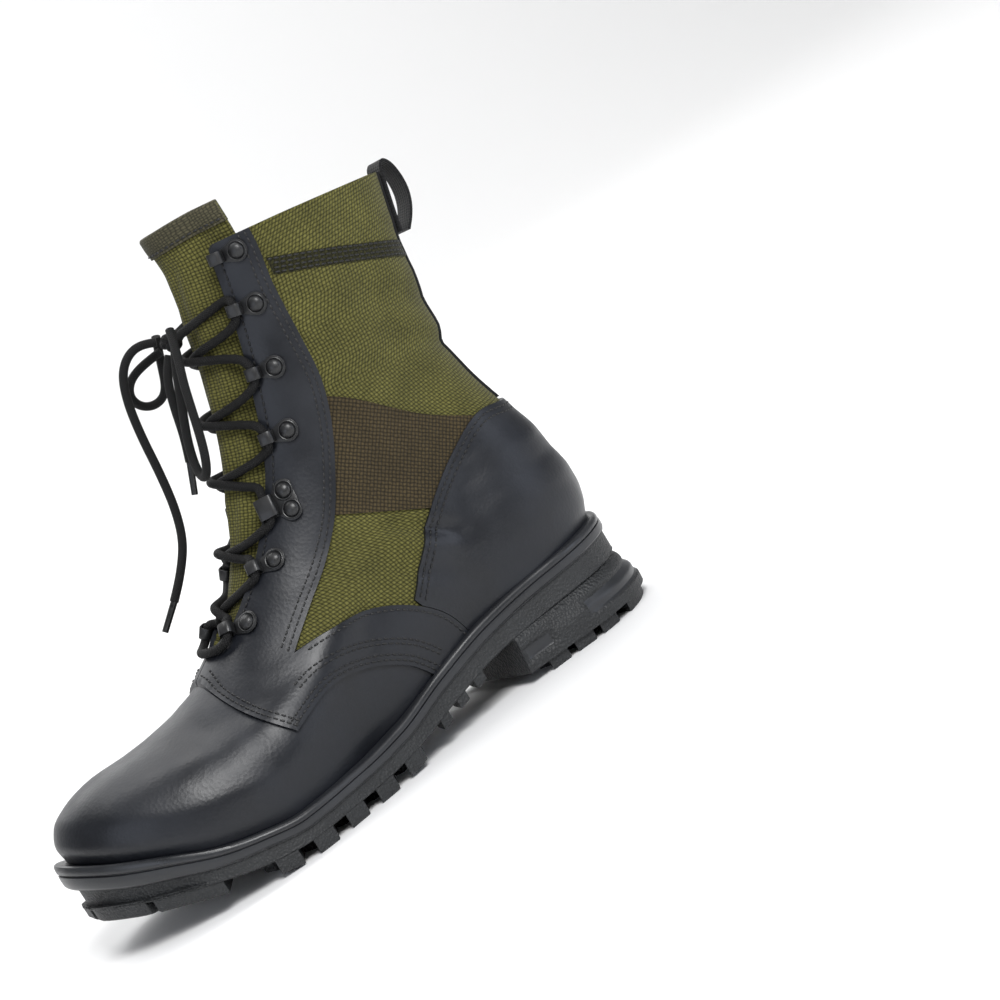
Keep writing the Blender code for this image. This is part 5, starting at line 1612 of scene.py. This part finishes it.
def evened(points, pitch, passes):
    """A route at even steps, with its corners eased."""
    route, carried = [points[0]], 0.0
    for first, second in zip(points, points[1:]):
        length = (second - first).length
        place = pitch - carried
        while place < length:
            route.append(first.lerp(second, place / length))
            place += pitch
        carried = length - (place - pitch)
    if (route[-1] - points[-1]).length < pitch / 2:
        route.pop()
    route.append(points[-1])
    for _ in range(passes):
        eased = route[:1]
        for before, here, after in zip(route, route[1:], route[2:]):
            eased.append((before + here * 2 + after) / 4)
        route = eased + route[-1:]
    return route


def ring_of(shape, centre, across, upward, radius, sides):
    """A ring of vertices round a centre."""
    turns = [math.tau * place / sides for place in range(sides)]
    return [
        shape.verts.new(centre + (across * math.cos(turn) + upward * math.sin(turn)) * radius)
        for turn in turns
    ]


def lace_shape(points, radius, closed=False, taper=1.0):
    """A round tube along a route, with its cloth coordinates: turns round and metres along."""
    sides = 12
    shape = bmesh.new()
    cloth = shape.loops.layers.uv.new("cloth")
    count = len(points)
    tangents = []
    for place in range(count):
        after = points[(place + 1) % count] if closed else points[min(place + 1, count - 1)]
        before = points[place - 1] if closed or place else points[0]
        tangents.append((after - before).normalized())
    out = tangents[0].orthogonal().normalized()
    rows, run = [], [0.0]
    for place, (point, along) in enumerate(zip(points, tangents)):
        out = (out - along * out.dot(along)).normalized()
        beside = along.cross(out)
        size = radius * (1 + (taper - 1) * place / (count - 1))
        rows.append(ring_of(shape, point, out, beside, size, sides))
        if place:
            run.append(run[-1] + (point - points[place - 1]).length)
    if closed:
        rows.append(rows[0])
        run.append(run[-1] + (points[0] - points[-1]).length)
    for place in range(len(rows) - 1):
        faces = strip_faces(shape, rows[place], rows[place + 1], True)
        start, end = run[place], run[place + 1]
        for turn, face in enumerate(faces):
            spots = ((turn, start), (turn + 1, start), (turn + 1, end), (turn, end))
            for loop, (column, along) in zip(face.loops, spots):
                loop[cloth].uv = (column / sides, along)
    if not closed:
        shape.faces.new(rows[0])
        shape.faces.new(rows[-1])
    bmesh.ops.recalc_face_normals(shape, faces=shape.faces)
    return shape


def lace_strand(start_side):
    """Half the lace, from the middle of the bottom bar to the knot."""
    low_ring = LACE_ROWS[0] - 0.7
    reach = abs(through_tunnel(0, start_side)[0].y)
    route = [laid_on(low_ring, start_side * reach * part)[0] for part in (0.0, 0.35, 0.7)]
    for row in range(LACED_ROWS):
        side = start_side * (-1) ** row
        route += through_tunnel(row, side)
        if row == LACED_ROWS - 1:
            break
        low = LACE_ROWS[row] + MOUTH_RINGS[row == CLAMP_ROW]
        high = LACE_ROWS[row + 1] - MOUTH_RINGS[row + 1 == CLAMP_ROW]
        width = abs(route[-1].y)
        for part in CROSSING_SHARES:
            point, outward = laid_on(low + (high - low) * part, side * width * (1 - 2 * part))
            hump = math.exp(-(((part - 0.5) / 0.17) ** 2)) if side > 0 else 0.0
            route.append(point + outward * (LACE_DIAMETER * hump))
    last_ring = LACE_ROWS[LACED_ROWS - 1] + 0.3
    width = abs(route[-1].y)
    end_side = start_side * (-1) ** (LACED_ROWS - 1)
    route += [laid_on(last_ring, end_side * width * part)[0] for part in (0.85, 0.68)]
    route.append(KNOT_CENTRE + Vector((0, end_side * 4 * MM, 0)))
    return curve_through(evened(route, 2.4 * MM, 2), 2)


crossing_nodes = ["lace_crossing_%d" % (row + 1) for row in range(LACED_ROWS - 1)]
for start_side, name, nodes in (
    (1, "lace_from_outer_side", ["lace_bottom_bar", "lace_top_medial", *crossing_nodes]),
    (-1, "lace_from_inner_side", ["lace_top_lateral"]),
):
    half_lace = lace_shape(lace_strand(start_side), LACE_DIAMETER / 2)
    finished(name, half_lace, (braid,), nodes)

knot_turns = [math.tau * part / 72 for part in range(72)]
knot_route = [
    KNOT_CENTRE
    + Vector(
        (
            -math.sin(3 * turn) * KNOT_HALF[0] * MM,
            (math.sin(turn) + 2 * math.sin(2 * turn)) / 2.8 * KNOT_HALF[1] * MM,
            (math.cos(turn) - 2 * math.cos(2 * turn)) / 3 * KNOT_HALF[2] * MM,
        )
    )
    for turn in knot_turns
]
knot = finished(
    "tied_knot",
    lace_shape(knot_route, LACE_DIAMETER / 2 * 0.95, closed=True),
    (braid,),
    ["lace_knot"],
)

tip_plastic, tree, shader = new_material("black acetate tip")
scuffs = noise(tree, 500.0, 3.0)
feed(
    tree,
    shader,
    {"Base Color": hex_colour("#0d0d0e"), "Roughness": spread(tree, scuffs, 0.2, 0.45)},
)

# The middle of each free stretch in millimetres, from the knot on
BOW = {
    "lace_bow_long": (
        (96, 10, 219), (101, 10.5, 211), (105, 9, 201), (109.5, 7.5, 190), (113.5, 6.5, 180),
        (116.5, 7, 171), (118.6, 10.3, 164.5), (119.4, 16.5, 161.5), (118.6, 22.8, 164.5),
        (116.5, 26, 171), (113.5, 26, 180), (110, 24.5, 191), (106, 22.5, 203), (101, 19.5, 214),
        (95, 12, 226),
    ),
    "lace_bow_short": (
        (97, -10, 219), (105, -14, 218), (112, -18, 216), (116, -23, 211.5), (115.8, -27.5, 205),
        (111, -29.5, 199.5), (104.5, -28, 198.5), (100.2, -24, 202.5), (98, -17.5, 213),
        (95, -11, 226),
    ),
    "lace_end_long": (
        (99, -2, 224), (108, -6, 227), (117, -10, 221), (122, -13, 208), (125, -14, 191),
        (127, -14, 173), (130, -14, 155), (135, -15, 140), (144, -16, 128), (153, -17, 119),
    ),
    "lace_end_short": (
        (98, 1, 216), (104, 0, 208), (108, -2, 195), (111, -3, 182), (115, -4, 170),
    ),
}
# Each tip's node, and its start and end
TIPS = {
    "lace_end_long": ("aglet_long", (152.6, -16.9, 119.3), (164.0, -18.0, 109.5)),
    "lace_end_short": ("aglet_short", (114.8, -3.9, 170.4), (121.0, -5.0, 156.0)),
}
for name, rows in BOW.items():
    route = curve_through([Vector(row) * MM for row in rows], 10)
    route = curve_through(evened(route, 1.5 * MM, 12), 2)
    cord = finished(
        name.replace("lace_", "tied_"), lace_shape(route, LACE_DIAMETER / 2), (braid,), [name]
    )
    if name in TIPS:
        node, start, end = TIPS[name]
        start, end = Vector(start) * MM, Vector(end) * MM
        spots = [start.lerp(end, part) for part in (0.0, 0.04, 0.5, 0.96, 1.0)]
        tip_shape = lace_shape(spots, 1.75 * MM, taper=0.85)
        tip = finished(node.replace("aglet", "tip"), tip_shape, (tip_plastic,), [node])


# Sewing
# Black bonded thread: one row along the facing's front, the wing's top and the tongue's binding,
# double rows along the facing's rear and the counter, two double rows along the wing's low edge,
# and four rows in the collar seam. Each stitch stands a little proud and dips at its ends.

STITCH_PITCH = 3.1 * MM
STITCH_LENGTH = 2.4 * MM
THREAD_RADIUS = 0.45 * MM
STITCH_SIDES = 5
BESIDE_BOOT = 140 * MM
LONGEST_STEP = 12 * MM
# Along a stitch: its place, its share of the radius, and how far it is lifted
STITCH_PROFILE = ((-0.5, 0.4, 0), (-0.3, 1, 0.5), (0.3, 1, 0.5), (0.5, 0.4, 0))
thread, tree, shader = new_material("bonded black thread")
lint = noise(tree, 700.0, 3.0)
feed(tree, shader, {"Base Color": mixed(tree, lint, "#030303", "#0e0e0f"), "Roughness": 0.5})

sewn_pieces = [
    thing
    for thing in bpy.context.scene.objects
    if thing.type == "MESH"
    and thing.name.startswith(
        ("upper_shell", "facing_", "counter_", "webbing_", "collar_seam", "back_seam")
    )
]
sewn_surface = surface_of(sewn_pieces)


def on_side(line, side):
    """A flat seam line laid on the boot's side, as places with their normals."""
    laid = []
    for point in line:
        start = Vector((point.x, side * BESIDE_BOOT, point.y))
        reach = BESIDE_BOOT - 1 * MM
        hit, normal, _, _ = sewn_surface.ray_cast(start, Vector((0, -side, 0)), reach)
        if hit is not None:
            laid.append((hit, normal if normal.y * side > 0 else -normal))
    return laid


def on_front(distance, side):
    """A seam at one distance from the throat's edge, up the facing."""
    laid = []
    steps = 90
    for part in range(steps + 1):
        ring = THROAT_RING + 0.5 + (COLLAR_RING - THROAT_RING - 1.0) * part / steps
        angle = angle_from_edge(ring, distance, side)
        normal = ring_normal(ring, angle)
        start = ring_point(ring, angle) + normal * 10 * MM
        hit = sewn_surface.ray_cast(start, -normal, 20 * MM)[0]
        if hit is not None:
            laid.append((hit, normal))
    return laid


# How far each row lies from the edge that it follows, in millimetres
FRONT_ROW = 4
REAR_ROWS = (2.4, 5.2)
WING_TOP_ROW = 2.2
WING_ROWS = (2.2, 4.6)
SECOND_WING_ROWS = (9.6, 11.8)
COLLAR_ROWS = (-1.0, -3.0, -5.2, -7.2)
thread_shape = bmesh.new()


def sewn(seam):
    """Stitches along a seam, which stops where it leaves the piece."""
    left = STITCH_PITCH / 2
    for (first, normal), (second, _) in zip(seam, seam[1:]):
        run = (second - first).length
        if run > LONGEST_STEP:
            left = STITCH_PITCH / 2
            continue
        along = (second - first).normalized()
        beside = normal.cross(along).normalized()
        while left < run:
            middle = first.lerp(second, left / run)
            rows = []
            for part, size, lift in STITCH_PROFILE:
                centre = middle + along * STITCH_LENGTH * part + normal * THREAD_RADIUS * lift
                radius = THREAD_RADIUS * size
                rows.append(ring_of(thread_shape, centre, beside, normal, radius, STITCH_SIDES))
            made = [thread_shape.faces.new(rows[0]), thread_shape.faces.new(rows[-1])]
            for low, high in zip(rows, rows[1:]):
                made += strip_faces(thread_shape, low, high, True)
            bmesh.ops.recalc_face_normals(thread_shape, faces=made)
            left += STITCH_PITCH
        left -= run


for side in (1, -1):
    sewn(on_front(FRONT_ROW * MM, side))
    for inset in REAR_ROWS:
        sewn(on_side(shifted(facing_rear[6:], inset * MM), side))
        sewn(on_side(shifted(counter_edge[8:-2], -inset * MM), side))
    sewn(on_side(shifted(wing_top[3:], WING_TOP_ROW * MM), side))
    for inset in WING_ROWS:
        sewn(on_side(shifted(wing_low, inset * MM), side))
        sewn(on_side(shifted(facing_toe[:-7], inset * MM), side))
    for inset in SECOND_WING_ROWS:
        sewn(on_side(shifted(wing_low[3:-5], inset * MM), side))
    for drop in COLLAR_ROWS:
        line = [point for point in shifted(collar_seam, drop * MM) if point.x < 47 * MM]
        sewn(on_side(line, side))
binding_seam = []
for part in range(41):
    spot = tongue_half(TONGUE_TOP) * (2 * part / 40 - 1) * 0.96
    spot_ring = binding_low + 0.1
    place = tongue_off(spot_ring, spot, front_lift + 0.05 * MM)
    ahead = tongue_off(spot_ring, spot, front_lift + 1 * MM) - place
    binding_seam.append((place, ahead.normalized()))
sewn(binding_seam)
finished("thread", thread_shape, (thread,), [], 60)


# Camera, light and floor
# The photograph's angle to the boot, rolled as the boot leans in it, and a white studio sweep.

CAMERA_YAW = math.radians(22)
CAMERA_HEIGHT_ANGLE = math.radians(9)
CAMERA_ROLL = math.radians(-31.3)
CAMERA_DISTANCE = 1230 * MM
CAMERA_TARGET = Vector((-4, 0, 74)) * MM
CAMERA_LENS = 92.7
CAMERA_SENSOR = 36
FLOOR_HALF = 7.0
SWEEP_START = -2.2
SWEEP_RADIUS = 1.2
camera_data = bpy.data.cameras.new("camera")
camera_data.lens = CAMERA_LENS
camera_data.sensor_width = CAMERA_SENSOR
camera = linked("camera", camera_data)
bpy.context.scene.camera = camera
level = Vector((math.sin(CAMERA_YAW), math.cos(CAMERA_YAW), 0))
toward = level * math.cos(CAMERA_HEIGHT_ANGLE) + Vector((0, 0, math.sin(CAMERA_HEIGHT_ANGLE)))
right = (-toward).cross(Vector((0, 0, 1))).normalized()
up = right.cross(-toward)
rolled_right = right * math.cos(CAMERA_ROLL) + up * math.sin(CAMERA_ROLL)
rolled_up = up * math.cos(CAMERA_ROLL) - right * math.sin(CAMERA_ROLL)
placed = Matrix((rolled_right, rolled_up, toward)).transposed().to_4x4()
placed.translation = CAMERA_TARGET + toward * CAMERA_DISTANCE
camera.matrix_world = placed


def soft_light(name, where, size, power, colour="#ffffff", aim=(0.08, 0, 0.1)):
    """An area light that looks at the boot, or at a place on the backdrop."""
    data = bpy.data.lights.new(name, "AREA")
    data.size = size
    data.energy = power
    data.color = hex_colour(colour)[:3]
    made = linked(name, data)
    made.location = where
    made.rotation_euler = (Vector(aim) - Vector(where)).to_track_quat("-Z", "Y").to_euler()


soft_light("key", (0.1, 1.3, 1.3), 0.8, 30)
soft_light("fill", (-1.3, 1.2, 0.5), 0.8, 5, "#e6eeff")
soft_light("toe", (1.6, 0.9, 0.5), 0.8, 4, "#e6eeff")
soft_light("back", (0.2, -1.3, 1.4), 1.2, 7)
soft_light("backdrop", (0.0, -0.9, 3.2), 2.5, 95, aim=(0.0, -3.4, 1.2))

bpy.context.scene.view_settings.view_transform = "Standard"
world = bpy.data.worlds.new("studio")
bpy.context.scene.world = world
world.use_nodes = True
sky = world.node_tree.nodes["Background"]
feed(world.node_tree, sky, {"Color": hex_colour("#ffffff"), "Strength": 0.28})

floor_shape = bmesh.new()
sweep = [(5.0, 0.0), (SWEEP_START, 0.0)]
sweep += [
    (SWEEP_START - SWEEP_RADIUS * math.sin(a), SWEEP_RADIUS - SWEEP_RADIUS * math.cos(a))
    for a in [math.pi / 2 * part / 12 for part in range(1, 13)]
]
sweep.append((SWEEP_START - SWEEP_RADIUS, 6.0))
floor_rows = [
    [floor_shape.verts.new((x, y, z)) for x in (-FLOOR_HALF, FLOOR_HALF)] for y, z in sweep
]
for first, second in zip(floor_rows, floor_rows[1:]):
    strip_faces(floor_shape, first, second, False)
studio_floor = object_of("studio_floor", floor_shape)
studio_floor.data.shade_smooth()
floor_paint, tree, shader = new_material("matt white paint")
feed(tree, shader, {"Base Color": hex_colour("#f4f4f4"), "Roughness": 0.9})
studio_floor.data.materials.append(floor_paint)
